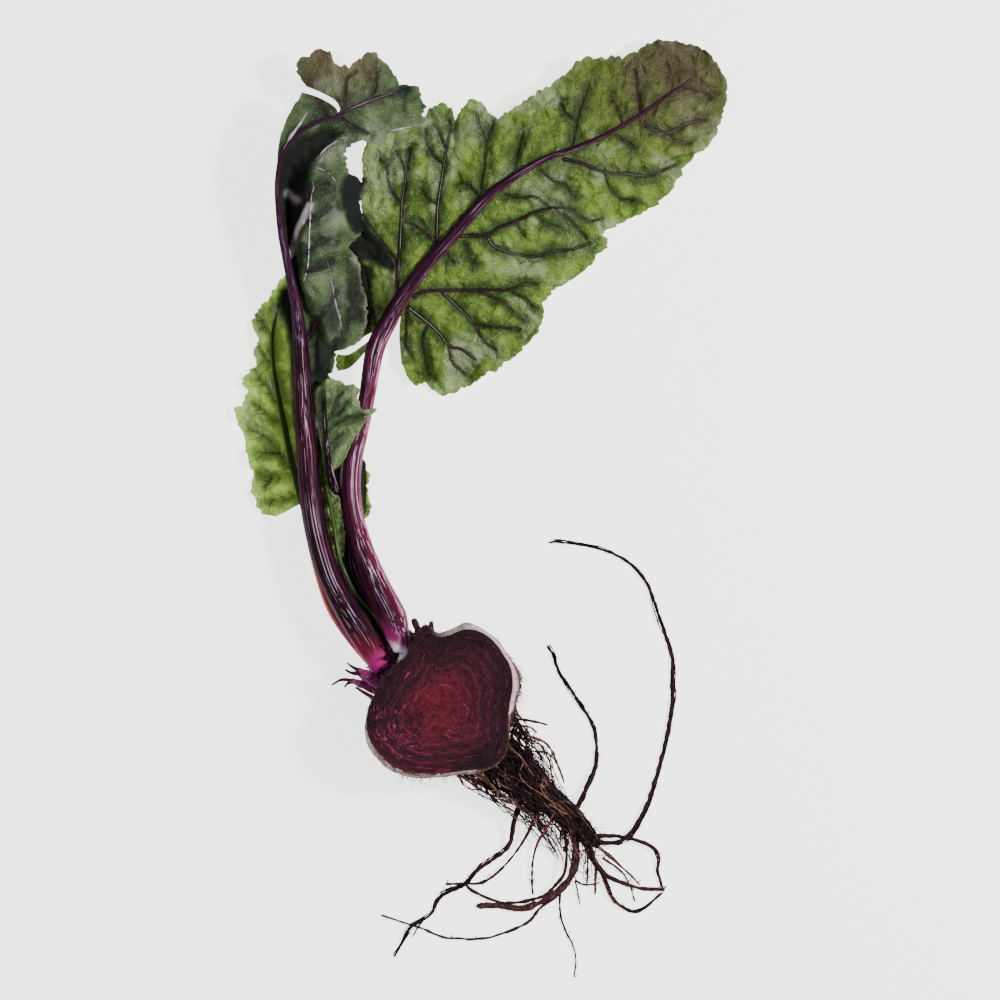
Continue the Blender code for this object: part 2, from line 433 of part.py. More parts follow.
def profile(sides, ridge):
    """Cross-section of unit radius, with every second corner raised as a rib."""
    curve = bpy.data.curves.new("profile", "CURVE")
    curve.dimensions = "2D"
    spline = curve.splines.new("POLY")
    spline.points.add(sides - 1)
    for i, point in enumerate(spline.points):
        angle = 2 * math.pi * i / sides
        reach = 1 + ridge if i % 2 == 0 else 1 - ridge
        point.co = (reach * math.cos(angle), reach * math.sin(angle), 0, 1)
    spline.use_cyclic_u = True
    return bpy.data.objects.new("profile", curve)


def rod(name, points, radii, sides, steps, collection, mat=None, ridge=0.0, knobs=None):
    """Tapering rod along a smooth curve, flat at its first end and pointed at its last."""
    last = len(points) - 1
    curve = bpy.data.curves.new(name, "CURVE")
    curve.dimensions = "3D"
    curve.twist_mode = "MINIMUM"
    spline = curve.splines.new("POLY")
    spline.points.add(steps)
    for k, point in enumerate(spline.points):
        place = last * k / steps
        radius = value_at(radii, place * (len(radii) - 1) / last)
        if knobs:
            radius *= 1 + knobs.uniform(-0.22, 0.22)
        point.co = (*curve_at(points, place), 1)
        point.radius = 0 if k == steps else radius
    section = profile(sides, ridge)
    curve.bevel_mode = "OBJECT"
    curve.bevel_object = section
    curve.use_fill_caps = True
    guide = bpy.data.objects.new(name, curve)
    collection.objects.link(guide)
    deps = bpy.context.evaluated_depsgraph_get()
    mesh = bpy.data.meshes.new_from_object(guide.evaluated_get(deps))
    bm = bmesh.new()
    bm.from_mesh(mesh)
    bmesh.ops.remove_doubles(bm, verts=bm.verts, dist=0.001)
    bpy.data.objects.remove(guide)
    bpy.data.objects.remove(section)
    bpy.data.meshes.remove(mesh)
    return to_object(name, bm, collection, mat)


def blade_side(stalk, radii, ribs, tip, side, columns, between, form):
    """Rows of points across one half of a blade, with the place of each row on the midrib."""
    lines = []
    for rib in ribs:
        centre = curve_at(stalk, rib[0])
        ahead = curve_at(stalk, rib[0] + 0.1) - curve_at(stalk, rib[0] - 0.1)
        across = np.array((ahead[1], -ahead[0], 0.0)) * side
        across = across / np.linalg.norm(across)
        radius = value_at(radii, rib[0])
        root = centre + across * radius * 0.5
        root[2] = centre[2] - radius * (1 + form["ridge"]) - GAP - BLADE / 2
        lines.append([root] + [np.array(p, float) for p in rib[1:]])
    root = curve_at(stalk, len(stalk) - 1)
    root[2] -= radii[-1] + GAP + BLADE / 2
    lines.append([root] + [np.array(p, float) for p in tip])
    places = [rib[0] for rib in ribs] + [len(stalk) - 1.0]
    grid = []
    for line in lines:
        grid.append([curve_at(line, v * (len(line) - 1)) for v in columns])
    rows = []
    for k in range(len(lines) - 1):
        for j in range(between):
            f = j / between
            swell = math.sin(math.pi * f)
            row = []
            for c, v in enumerate(columns):
                point = curve_at([g[c] for g in grid], k + f)
                point[2] += form["pucker"] * (swell - 0.35) * math.sin(math.pi * v) ** 0.7
                point[2] += form["wave"] * math.sin(2.3 * (k + f) + side) * v ** 3
                if c and v == 1.0:
                    out = point - row[-1]
                    point = point + out / np.linalg.norm(out) * form["scallop"] * (swell - 0.4)
                row.append(point)
            rows.append((places[k] + (places[k + 1] - places[k]) * f, row))
    rows.append((places[-1], grid[-1]))
    return rows


def blade(name, stalk, radii, left, right, tip, collection, mat, columns, between, form, tears=()):
    """Thin leaf blade: two halves joined by a strip under the midrib, then thickened."""
    bm = bmesh.new()
    halves = []
    for ribs, side in ((left, -1), (right, 1)):
        rows = blade_side(stalk, radii, ribs, tip, side, columns, between, form)
        verts = [[bm.verts.new(p) for p in row] for _, row in rows]
        halves.append(([s for s, _ in rows], verts))
        for k in range(len(verts) - 1):
            torn = side < 0 and k // between in tears
            for c in range(len(columns) - 1):
                if torn and c > 0:
                    continue
                bm.faces.new((verts[k][c], verts[k + 1][c], verts[k + 1][c + 1], verts[k][c + 1]))
    (left_s, left_v), (right_s, right_v) = halves
    i = j = 0
    while i < len(left_s) - 1 or j < len(right_s) - 1:
        step_left = j == len(right_s) - 1
        if i < len(left_s) - 1 and j < len(right_s) - 1:
            step_left = left_s[i + 1] <= right_s[j + 1]
        if step_left:
            bm.faces.new((left_v[i][0], left_v[i + 1][0], right_v[j][0]))
            i += 1
        else:
            bm.faces.new((left_v[i][0], right_v[j + 1][0], right_v[j][0]))
            j += 1
    bmesh.ops.remove_doubles(bm, verts=bm.verts, dist=0.0001)
    loose = [v for v in bm.verts if not v.link_faces]
    bmesh.ops.delete(bm, geom=loose, context="VERTS")
    bmesh.ops.triangulate(bm, faces=bm.faces, quad_method="ALTERNATE")
    obj = to_object(name, bm, collection, mat)
    mod = obj.modifiers.new("thickness", "SOLIDIFY")
    mod.thickness = BLADE * MM
    mod.offset = 0.0
    apply_modifiers(obj)
    settle(obj)
    return obj


def settle(obj):
    """Flattens what would reach below the surface the object lies on, as small resting spots."""
    for vert in obj.data.vertices:
        vert.co.z = max(vert.co.z, 0.0)


def socket(points, radii, sides, collection):
    """A stalk's buried end, larger all round by the gap, to be cut from the crown."""
    first = np.array(points[0], float)
    ahead = curve_at(points, 0.1) - first
    first = first - ahead / np.linalg.norm(ahead) * GAP
    path = [tuple(first)] + list(points[1:3])
    wide = [r * 1.12 + GAP for r in radii[:3]]
    return rod("socket", path, wide, sides, 6, collection)


def closed_curve(points, count):
    looped = points[-2:] + points + points[:3]
    return [curve_at(looped, 2 + len(points) * k / count) for k in range(count)]


def bulb(collection, mat):
    bm = bmesh.new()
    widest = closed_curve(WIDEST, BULB_SIDES)
    edge = closed_curve(CUT_EDGE, BULB_SIDES)
    rings = []
    spot = [REST_RADIUS * p / np.linalg.norm(p) for p in widest]
    rings.append([bm.verts.new((p[0], p[1], 0.0)) for p in spot])
    for share, z in BULB_RINGS:
        round_share = 0.55 * max(0.0, (WIDEST_Z - z) / WIDEST_Z)
        ring = []
        for p in widest:
            even = p / np.linalg.norm(p) * 29.0
            q = (p * (1 - round_share) + even * round_share) * share
            ring.append(bm.verts.new((q[0], q[1], z)))
        rings.append(ring)
    rings.append([bm.verts.new((p[0], p[1], CUT_Z)) for p in edge])
    for low, high in zip(rings, rings[1:]):
        for i in range(BULB_SIDES):
            j = (i + 1) % BULB_SIDES
            bm.faces.new((low[i], low[j], high[j], high[i]))
    bm.faces.new(list(reversed(rings[0])))
    bm.faces.new(rings[-1])
    bmesh.ops.triangulate(bm, faces=bm.faces)
    obj = to_object("bulb", bm, collection, mat)

    middle, size = CROWN
    bm = bmesh.new()
    bmesh.ops.create_icosphere(bm, subdivisions=2, radius=1.0)
    bmesh.ops.scale(bm, vec=size, verts=bm.verts)
    bmesh.ops.translate(bm, vec=middle, verts=bm.verts)
    grown = [to_object("crown", bm, collection)]
    for points, first, last in STUBS:
        grown.append(rod("stub", points, [first, last], 6, 6, collection, ridge=0.08))
    for points, first, last in BULB_ROOTS:
        grown.append(rod("bulb_root", points, [first, last], 5, 9, collection))
    combine(obj, grown, "UNION")
    cutters = [
        socket(LARGE_STALK, LARGE_RADII, 14, collection),
        socket(LONG_STALK, LONG_RADII, 14, collection),
        socket(SIDE_STALK, SIDE_RADII, 10, collection),
        socket(SMALL_STALK, SMALL_RADII, 8, collection),
        socket(YOUNG_STALK, YOUNG_RADII, 8, collection),
        socket(BACK_STALK, BACK_RADII, 8, collection),
        socket(TAIL, TAIL_RADII, 16, collection),
    ]
    combine(obj, cutters, "DIFFERENCE")
    return obj


def root_tail(collection, mat):
    """Tail of the root with its long roots and fine rootlets, all one body."""
    rng = random.Random(ROOT_SEED)
    obj = rod("root_tail", TAIL, TAIL_RADII, 14, 16, collection, mat, 0.05)
    grown = []
    for points, first, last in LONG_ROOTS:
        steps = int(2.3 * len(points))
        grown.append(rod("long_root", points, [first, last], 5, steps, collection, knobs=rng))
    for k in range(FIBRES):
        place = 2.0 + 4.4 * (k + rng.random()) / FIBRES
        centre = curve_at(TAIL, place)
        ahead = curve_at(TAIL, place + 0.1) - curve_at(TAIL, place - 0.1)
        ahead = ahead / np.linalg.norm(ahead)
        across = np.array((ahead[1], -ahead[0], 0.0))
        turn = rng.uniform(-1.25, 1.25)
        out = across * (1 if k % 2 else -1) * math.cos(turn) + np.array((0, 0, math.sin(turn)))
        reach = rng.uniform(7, 17)
        base = centre + out * value_at(TAIL_RADII, place) * 0.35
        mid = centre + out * (value_at(TAIL_RADII, place) + 1.5) + ahead * reach * 0.4
        end = centre + out * rng.uniform(4, 9) + ahead * reach
        end[2] = max(end[2] - rng.uniform(2, 7), 0.8)
        mid[2] = max(mid[2], 1.2)
        grown.append(rod("rootlet", [base, mid, end], [0.6, 0.3], 3, 4, collection))
    combine(obj, grown, "UNION")
    settle(obj)
    return obj


def build():
    for old in list(bpy.data.objects):
        bpy.data.objects.remove(old)
    collection = bpy.data.collections.new("beetroot")
    bpy.context.scene.collection.children.link(collection)

    bulb(collection, material("beet_flesh_and_skin", (0.15, 0.015, 0.035), 0.5))
    root_tail(collection, material("root_tail_skin", (0.06, 0.03, 0.03), 0.8))

    purple = (0.16, 0.02, 0.06)
    form = {"ridge": 0.06, "pucker": 1.6, "wave": 0.8, "scallop": 0.7}
    rod("large_leaf_stalk", LARGE_STALK, LARGE_RADII, 12, 50, collection,
        material("large_leaf_stalk_skin", purple, 0.35), 0.06)
    blade("large_leaf_blade", LARGE_STALK, LARGE_RADII, LARGE_LEFT, LARGE_RIGHT, LARGE_TIP,
          collection, material("large_leaf_green", (0.10, 0.19, 0.03), 0.5),
          (0, 0.2, 0.45, 0.7, 0.88, 1), 2, form, (1,))

    rod("long_leaf_stalk", LONG_STALK, LONG_RADII, 12, 54, collection,
        material("long_leaf_stalk_skin", purple, 0.35), 0.06)
    blade("long_leaf_blade", LONG_STALK, LONG_RADII, LONG_LEFT, LONG_RIGHT, LONG_TIP,
          collection, material("long_leaf_green", (0.07, 0.11, 0.05), 0.5),
          (0, 0.2, 0.4, 0.6, 0.8, 1), 2, {**form, "pucker": 0.9, "wave": 0.5}, LONG_TEARS)

    rod("side_leaf_stalk", SIDE_STALK, SIDE_RADII, 8, 26, collection,
        material("side_leaf_stalk_skin", (0.25, 0.04, 0.06), 0.4), 0.05)
    blade("side_leaf_blade", SIDE_STALK, SIDE_RADII, SIDE_LEFT, SIDE_RIGHT, SIDE_TIP,
          collection, material("side_leaf_green", (0.10, 0.18, 0.03), 0.5),
          (0, 0.35, 0.7, 1), 2, {**form, "ridge": 0.05, "pucker": 1.1, "wave": 0.4})

    rod("small_leaf_stalk", SMALL_STALK, SMALL_RADII, 8, 20, collection,
        material("small_leaf_stalk_skin", purple, 0.4), 0.05)
    blade("small_leaf_blade", SMALL_STALK, SMALL_RADII, SMALL_LEFT, SMALL_RIGHT, SMALL_TIP,
          collection, material("small_leaf_green", (0.10, 0.16, 0.06), 0.5),
          (0, 0.35, 0.7, 1), 2, {"ridge": 0.05, "pucker": 0.5, "wave": 0.2, "scallop": 0.4})

    rod("young_leaf_stalk", YOUNG_STALK, YOUNG_RADII, 6, 16, collection,
        material("young_leaf_stalk_skin", (0.28, 0.34, 0.08), 0.4), 0.0)
    blade("young_leaf_blade", YOUNG_STALK, YOUNG_RADII, YOUNG_LEFT, YOUNG_RIGHT, YOUNG_TIP,
          collection, material("young_leaf_green", (0.18, 0.28, 0.07), 0.5),
          (0, 0.5, 1), 2, {"ridge": 0.0, "pucker": 0.5, "wave": 0.3, "scallop": 0.4})

    rod("back_leaf_stalk", BACK_STALK, BACK_RADII, 6, 14, collection,
        material("back_leaf_stalk_skin", purple, 0.4), 0.0)
    blade("back_leaf_blade", BACK_STALK, BACK_RADII, BACK_LEFT, BACK_RIGHT, BACK_TIP,
          collection, material("back_leaf_green", (0.14, 0.24, 0.04), 0.5),
          (0, 0.5, 1), 2, {"ridge": 0.0, "pucker": 0.3, "wave": 0.2, "scallop": 0.4})


build()
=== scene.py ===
# Half a beetroot with its leaves, dressed over its CAD frame. Shapes are in millimetres along the
# frame's own axes: Z up, leaves along +Y, root tail along +X and -Y, cut face up.
import math
import random

import bmesh
import bpy
import numpy as np
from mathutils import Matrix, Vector
from mathutils.bvhtree import BVHTree
from mathutils.kdtree import KDTree


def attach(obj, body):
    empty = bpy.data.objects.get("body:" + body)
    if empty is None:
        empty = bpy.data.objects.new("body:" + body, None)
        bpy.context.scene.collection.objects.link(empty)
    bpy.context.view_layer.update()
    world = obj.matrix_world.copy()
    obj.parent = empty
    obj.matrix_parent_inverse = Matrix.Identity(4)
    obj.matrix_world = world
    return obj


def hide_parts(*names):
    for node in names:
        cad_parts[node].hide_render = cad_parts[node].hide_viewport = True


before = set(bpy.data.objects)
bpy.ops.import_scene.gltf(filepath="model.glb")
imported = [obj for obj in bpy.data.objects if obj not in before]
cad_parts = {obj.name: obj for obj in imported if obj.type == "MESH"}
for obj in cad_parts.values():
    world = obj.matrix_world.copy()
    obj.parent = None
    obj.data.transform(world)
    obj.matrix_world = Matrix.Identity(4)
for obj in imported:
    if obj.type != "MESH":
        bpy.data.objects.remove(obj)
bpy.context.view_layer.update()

mm = 0.001
turn = 2 * math.pi
upward = np.array((0.0, 0.0, 1.0))
highest = 31.8                                  # nothing reaches above this


def curveAt(points, places):                    # smooth curve through points, places counted from 0
    points = np.asarray(points, float)
    last = len(points) - 1
    places = np.clip(np.atleast_1d(places).astype(float), 0, last)
    i = np.minimum(places.astype(int), last - 1)
    t = (places - i).reshape((-1,) + (1,) * (points.ndim - 1))
    run = np.concatenate([[2 * points[0] - points[1]], points, [2 * points[-1] - points[-2]]])
    a, b, c, d = run[i], run[i + 1], run[i + 2], run[i + 3]
    bend = (2 * a - 5 * b + 4 * c - d) * t ** 2 + (3 * b - a - 3 * c + d) * t ** 3
    return 0.5 * (2 * b + (c - a) * t + bend)


def evenPlaces(points, spacing):                # places about `spacing` apart, and the length
    dense = np.linspace(0, len(points) - 1, 30 * len(points))
    steps = np.linalg.norm(np.diff(curveAt(points, dense), axis=0), axis=1)
    run = np.concatenate([[0], np.cumsum(steps)])
    count = max(int(run[-1] / spacing), 3)
    return np.interp(np.linspace(0, run[-1], count + 1), run, dense), run[-1]


def evenCurve(points, spacing):                 # points about `spacing` apart
    return curveAt(points, evenPlaces(points, spacing)[0])


def closedCurve(points, count):
    looped = points[-2:] + points + points[:3]
    return curveAt(looped, 2 + len(points) * np.arange(count) / count)


def unit(vectors):
    return vectors / (np.linalg.norm(vectors, axis=-1, keepdims=True) + 1e-9)


def bearings(points):                           # degrees round the middle, seen from above
    return np.degrees(np.arctan2(points[..., 1], points[..., 0])) % 360


def turned(way, angle):                         # a flat direction, turned to the left
    return np.array((way[0] * math.cos(angle) - way[1] * math.sin(angle),
                     way[0] * math.sin(angle) + way[1] * math.cos(angle)))


def drawn(dice, *spans):                        # one random number from each span
    return np.array([dice.uniform(low, high) for low, high in spans])


def ripple(points, size, seed):                 # smooth uneven field about -1 to 1
    dice = np.random.default_rng(seed)
    total = 0
    for _ in range(10):
        way = unit(dice.normal(size=3)) * turn / size * dice.uniform(0.6, 1.6)
        total = total + np.sin(points @ way + dice.uniform(0, turn))
    return total / 3


def areaShare(points, outline, soft):           # 1 inside an outline seen from above, 0 outside
    x, y = points[..., 0], points[..., 1]
    edge = closedCurve(outline, 120)
    crossings = np.zeros(x.shape, int)
    nearest = np.full(x.shape, np.inf)
    for (ax, ay), (bx, by) in zip(edge, np.roll(edge, -1, axis=0)):
        level = x < ax + (bx - ax) * (y - ay) / (by - ay + 1e-9)
        crossings += ((ay > y) != (by > y)) & level
        nearest = np.minimum(nearest, np.hypot(x - ax, y - ay))
    return np.clip(0.5 + np.where(crossings % 2 == 1, nearest, -nearest) / soft, 0, 1)


def bandShare(points, line, width):             # 1 on a line seen from above, 0 beyond its width
    nearest = np.full(points.shape[:-1], np.inf)
    for x, y in evenCurve(line, 0.4):
        nearest = np.minimum(nearest, np.hypot(points[..., 0] - x, points[..., 1] - y))
    return np.clip(1.3 - nearest / width, 0, 1)


class Shape:                                    # gathers grids of points into one mesh
    def __init__(self):
        self.points = []
        self.faces = []
        self.fields = {}
        self.count = 0

    def add(self, grid, wrapped=False, capped=False, dropped=None, **fields):
        rows, columns = grid.shape[:2]
        index = np.arange(rows * columns).reshape(rows, columns) + self.count
        left = index if wrapped else index[:, :-1]
        right = np.roll(index, -1, axis=1) if wrapped else index[:, 1:]
        quads = np.stack([left[:-1], right[:-1], right[1:], left[1:]], axis=-1)
        if dropped is not None:
            quads = quads[~dropped]
        self.faces += quads.reshape(-1, 4).tolist()
        if capped:
            self.faces += [index[0, ::-1].tolist(), index[-1].tolist()]
        self.points.append(grid.reshape(-1, 3))
        for name, value in fields.items():
            value = np.asarray(value, float)
            size = (3,) if value.ndim == 3 else ()
            full = np.broadcast_to(value, (rows, columns) + size).reshape((-1,) + size)
            self.fields.setdefault(name, []).append(full)
        self.count += rows * columns

    def addTube(self, grid, **fields):
        self.add(grid, True, True, **fields)

    def tree(self):
        return BVHTree.FromPolygons(np.concatenate(self.points).tolist(), self.faces)

    def toObject(self, name, material, node, thickness=0.0):
        mesh = bpy.data.meshes.new(name)
        mesh.from_pydata((np.concatenate(self.points) * mm).tolist(), [], self.faces)
        for field, parts in self.fields.items():
            values = np.concatenate(parts)
            kind = "FLOAT_VECTOR" if values.ndim == 2 else "FLOAT"
            attribute = mesh.attributes.new(field, kind, "POINT")
            attribute.data.foreach_set("vector" if values.ndim == 2 else "value", values.ravel())
        bm = bmesh.new()
        bm.from_mesh(mesh)
        loose = [v for v in bm.verts if not v.link_faces]
        bmesh.ops.delete(bm, geom=loose, context="VERTS")
        bmesh.ops.recalc_face_normals(bm, faces=bm.faces)
        bm.to_mesh(mesh)
        bm.free()
        mesh.shade_smooth()
        mesh.materials.append(material)
        piece = bpy.data.objects.new(name, mesh)
        bpy.context.scene.collection.objects.link(piece)
        if thickness:
            body = piece.modifiers.new("thickness", "SOLIDIFY")
            body.thickness = thickness * mm
            body.offset = 0
        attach(piece, "root")
        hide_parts(node)
        return piece


def tubeGrid(path, radii, sides, form=0.0):     # rings round a path; form changes each radius
    ahead = unit(np.gradient(path, axis=0))
    across = unit(np.cross(ahead, upward))
    above = np.cross(across, ahead)
    angle = np.arange(sides) / sides * turn
    reach = (np.asarray(radii)[:, None] * (1 + form))[..., None]
    angle = angle[None, :, None]
    spoke = np.cos(angle) * across[:, None] + np.sin(angle) * above[:, None]
    return path[:, None] + reach * spoke


def addThread(shape, points, first, last, sides, spacing, knob=0.0, seed=0, **fields):
    path = evenCurve(points, spacing)
    share = np.linspace(0, 1, len(path))
    radii = first + (last - first) * share
    radii = radii * (1 + knob * ripple(path, 3.5, seed + 3)) * np.where(share > 0.999, 0.3, 1)
    path[:, :2] += 0.5 * knob * ripple(path, 9, seed + 5)[:, None] * np.sin(share * math.pi)[:, None]
    path[:, 2] = np.clip(path[:, 2], radii * 0.9, highest - radii)
    shape.addTube(tubeGrid(path, radii, sides), **fields)


class Wire:                                     # a node's output that can be reckoned with
    def __init__(self, shader, socket):
        self.shader = shader
        self.socket = socket

    def __add__(self, other):
        return self.shader.maths("ADD", self, other)

    __radd__ = __add__

    def __sub__(self, other):
        return self.shader.maths("SUBTRACT", self, other)

    def __rsub__(self, other):
        return self.shader.maths("SUBTRACT", other, self)

    def __mul__(self, other):
        return self.shader.maths("MULTIPLY", self, other)

    __rmul__ = __mul__


class Shader:                                   # builds one material
    def __init__(self, name):
        self.material = bpy.data.materials.new(name)
        self.material.use_nodes = True
        self.tree = self.material.node_tree
        self.tree.nodes.clear()

    def node(self, kind, settings, inputs, output=0):
        made = self.tree.nodes.new(kind)
        for key, value in settings.items():
            setattr(made, key, value)
        for key, value in inputs.items():
            if isinstance(value, Wire):
                self.tree.links.new(value.socket, made.inputs[key])
            else:
                made.inputs[key].default_value = value
        return Wire(self, made.outputs[output]) if made.outputs else None

    def maths(self, operation, a, b=0.0):
        return self.node("ShaderNodeMath", {"operation": operation}, {0: a, 1: b})

    def mix(self, factor, a, b):                # colour a, turning into b as the factor grows
        return self.node("ShaderNodeMix", {"data_type": "RGBA"}, {0: factor, 6: a, 7: b}, 2)

    def fade(self, value, low, high):           # 0 at low, 1 at high, smooth between
        inputs = {"Value": value, "From Min": low, "From Max": high}
        return self.node("ShaderNodeMapRange", {"interpolation_type": "SMOOTHSTEP"}, inputs)

    def field(self, name):
        return self.node("ShaderNodeAttribute", {"attribute_name": name}, {}, "Fac")

    def place(self, scale=(1, 1, 1), name=None):    # position or a vector field, in millimetres
        if name:
            spot = self.node("ShaderNodeAttribute", {"attribute_name": name}, {}, "Vector")
            wide = scale
        else:
            spot = self.node("ShaderNodeTexCoord", {}, {}, "Object")
            wide = tuple(s / mm for s in scale)
        return self.node("ShaderNodeVectorMath", {"operation": "MULTIPLY"}, {0: spot, 1: wide})

    def noise(self, place, size, detail=3.0, rough=0.55, bent=0.0):
        inputs = {"Vector": place, "Scale": 1 / size, "Detail": detail, "Roughness": rough,
                  "Distortion": bent}
        return self.node("ShaderNodeTexNoise", {}, inputs)

    def cells(self, place, size):               # 0 on the edges of uneven cells
        inputs = {"Vector": place, "Scale": 1 / size}
        return self.node("ShaderNodeTexVoronoi", {"feature": "DISTANCE_TO_EDGE"}, inputs)

    def finish(self, colour, roughness, height, depth, gloss=0.4, through=None, share=0.0):
        bump = self.node("ShaderNodeBump", {}, {"Height": height, "Distance": depth * mm, "Strength": 1.0})
        inputs = {"Base Color": colour, "Roughness": roughness, "Normal": bump,
                  "IOR": 1.36, "Specular IOR Level": gloss}
        surface = self.node("ShaderNodeBsdfPrincipled", {}, inputs)
        if through:
            glow = self.node("ShaderNodeBsdfTranslucent", {}, {"Color": through})
            surface = self.node("ShaderNodeMixShader", {}, {0: share, 1: surface, 2: glow})
        self.node("ShaderNodeOutputMaterial", {}, {"Surface": surface})
        return self.material


def tone(red, green, blue):                     # a colour from its display values, 0 to 255
    def linear(value):
        value /= 255
        return value / 12.92 if value <= 0.04045 else ((value + 0.055) / 1.055) ** 2.4
    return (linear(red), linear(green), linear(blue), 1.0)


print("camera, light and floor")
view = {"middle": (22, 80), "distance": 3000, "field": 400, "clip": 20}
lamps = {
    "key": {"spot": (900, 260, 1000), "size": 200, "power": 25.0},
    "fill": {"spot": (-800, -300, 1100), "size": 500, "power": 5.5},
}
sky = {"colour": (1.0, 0.99, 0.98, 1.0), "power": 0.2}
ground = {"reach": 4, "colour": (0.9, 0.89, 0.88, 1), "roughness": 0.9,
          "glow": (1.0, 0.985, 0.98, 1.0), "power": 2.4}
scene = bpy.context.scene
middle = Vector((view["middle"][0] * mm, view["middle"][1] * mm, 0))
camera = bpy.data.objects.new("camera", bpy.data.cameras.new("camera"))
camera.location = (middle.x, middle.y, view["distance"] * mm)
camera.data.lens = camera.data.sensor_width * view["distance"] / view["field"]
camera.data.clip_end = view["clip"]
scene.collection.objects.link(camera)
scene.camera = camera

for name, lamp in lamps.items():
    light = bpy.data.lights.new(name, "AREA")
    light.size = lamp["size"] * mm
    light.energy = lamp["power"]
    fixture = bpy.data.objects.new(name, light)
    fixture.location = Vector(lamp["spot"]) * mm
    fixture.rotation_euler = (middle - fixture.location).to_track_quat("-Z", "Y").to_euler()
    scene.collection.objects.link(fixture)

world = bpy.data.worlds.new("world")
scene.world = world
world.use_nodes = True
world.node_tree.nodes["Background"].inputs["Color"].default_value = sky["colour"]
world.node_tree.nodes["Background"].inputs["Strength"].default_value = sky["power"]

edge = ground["reach"]
floorMesh = bpy.data.meshes.new("floor")
floorMesh.from_pydata([(-edge, -edge, 0), (edge, -edge, 0), (edge, edge, 0), (-edge, edge, 0)],
                      [], [(0, 1, 2, 3)])
floor = bpy.data.objects.new("floor", floorMesh)
scene.collection.objects.link(floor)
paper = Shader("paper")
sheet = paper.node("ShaderNodeBsdfPrincipled", {}, {
    "Base Color": ground["colour"], "Roughness": ground["roughness"],
    "Emission Color": ground["glow"], "Emission Strength": ground["power"]})
paper.node("ShaderNodeOutputMaterial", {}, {"Surface": sheet})
floorMesh.materials.append(paper.material)


def leafMaterial(name, look):
    leaf = Shader(name)
    spot = leaf.place((1, 1, 0.4))
    vein = leaf.field("vein")
    rim = leaf.field("rim")
    patches = leaf.noise(spot, 13, 4, 0.6, 0.6)
    mottle = leaf.noise(spot, 2.4, 5, 0.65)
    fine = leaf.noise(spot, 0.7, 3, 0.6, 0.5)
    pillow = leaf.fade(leaf.cells(spot, look["pillow"]), 0.0, 0.32)
    fineNet = leaf.fade(leaf.cells(spot, 1.2), 0.0, 0.2)
    swell = leaf.fade(vein, 0.1, look["halo"]) * (0.68 + pillow * 0.32)
    # painted light over the leaf's own uneven tone: brighter green in broad patches and away from the veins,
    # with yellow-green patches where light shines through
    lit = leaf.fade(patches * 0.6 + mottle * 0.2 + leaf.fade(vein, 0.4, 6) * 0.2, 0.38, 0.66)
    colour = leaf.mix(lit, look["deep"], look["fresh"])
    gold = leaf.fade(leaf.noise(spot, 8, 3, 0.5, 1.0), 0.56, 0.74) * look["goldShare"]
    colour = leaf.mix(gold, colour, look["gold"])
    # painted shade: darker in the valleys beside the veins
    colour = leaf.mix((1 - swell) * look["valleyShade"], colour, look["shade"])
    colour = leaf.mix((1 - fineNet) * 0.2 + leaf.fade(fine, 0.54, 0.7) * 0.16, colour, look["shade"])
    # painted sheen: pale grey-green patches, more towards the margins and away from the veins
    sheen = leaf.fade(leaf.noise(spot, 17, 3, 0.5, 0.8) + rim * 0.14, 0.58, 0.8)
    glint = leaf.fade(leaf.noise(spot, 2.0, 3, 0.6, 0.9), 0.62, 0.72) * pillow
    sheenMask = sheen * (0.55 + mottle * 0.6) * swell
    colour = leaf.mix(sheenMask * look["sheenShare"], colour, look["sheen"])
    # painted glints on the tops of the leaf's swells
    colour = leaf.mix(glint * look["sheenShare"] * 0.45, colour, look["pale"])
    bronze = leaf.fade(leaf.field("bronze") + mottle * 0.2 - 0.1, 0.0, 1.0)
    colour = leaf.mix(bronze, colour, look["bronze"])
    colour = leaf.mix(leaf.fade(rim, 0.965, 1.0) * 0.45, colour, look["edge"])
    # painted shade: near black in the hollows and under folded parts of the blade
    hollow = leaf.fade(leaf.field("hollow") + mottle * 0.3 - 0.15, 0.0, 1.0)
    colour = leaf.mix(hollow, colour, look["hollow"])
    # painted highlight: pale bands along folds and broad pale patches on the lobes
    fold = leaf.fade(leaf.field("fold") + mottle * 0.4 - 0.2, 0.05, 0.95)
    colour = leaf.mix(fold, colour, look["fold"])
    height = patches * 0.3 + mottle * 0.3 + pillow * 0.4 + swell * 0.6 + fineNet * 0.14 + fine * 0.1
    height = height * (1 - hollow * 0.8)
    roughness = 0.42 - sheenMask * 0.1 + mottle * 0.1 + hollow * 0.4
    share = look["through"] * (0.5 + lit * 0.9) * (1 - hollow)
    return leaf.finish(colour, roughness, height, look["relief"], look["gloss"], look["glow"], share)


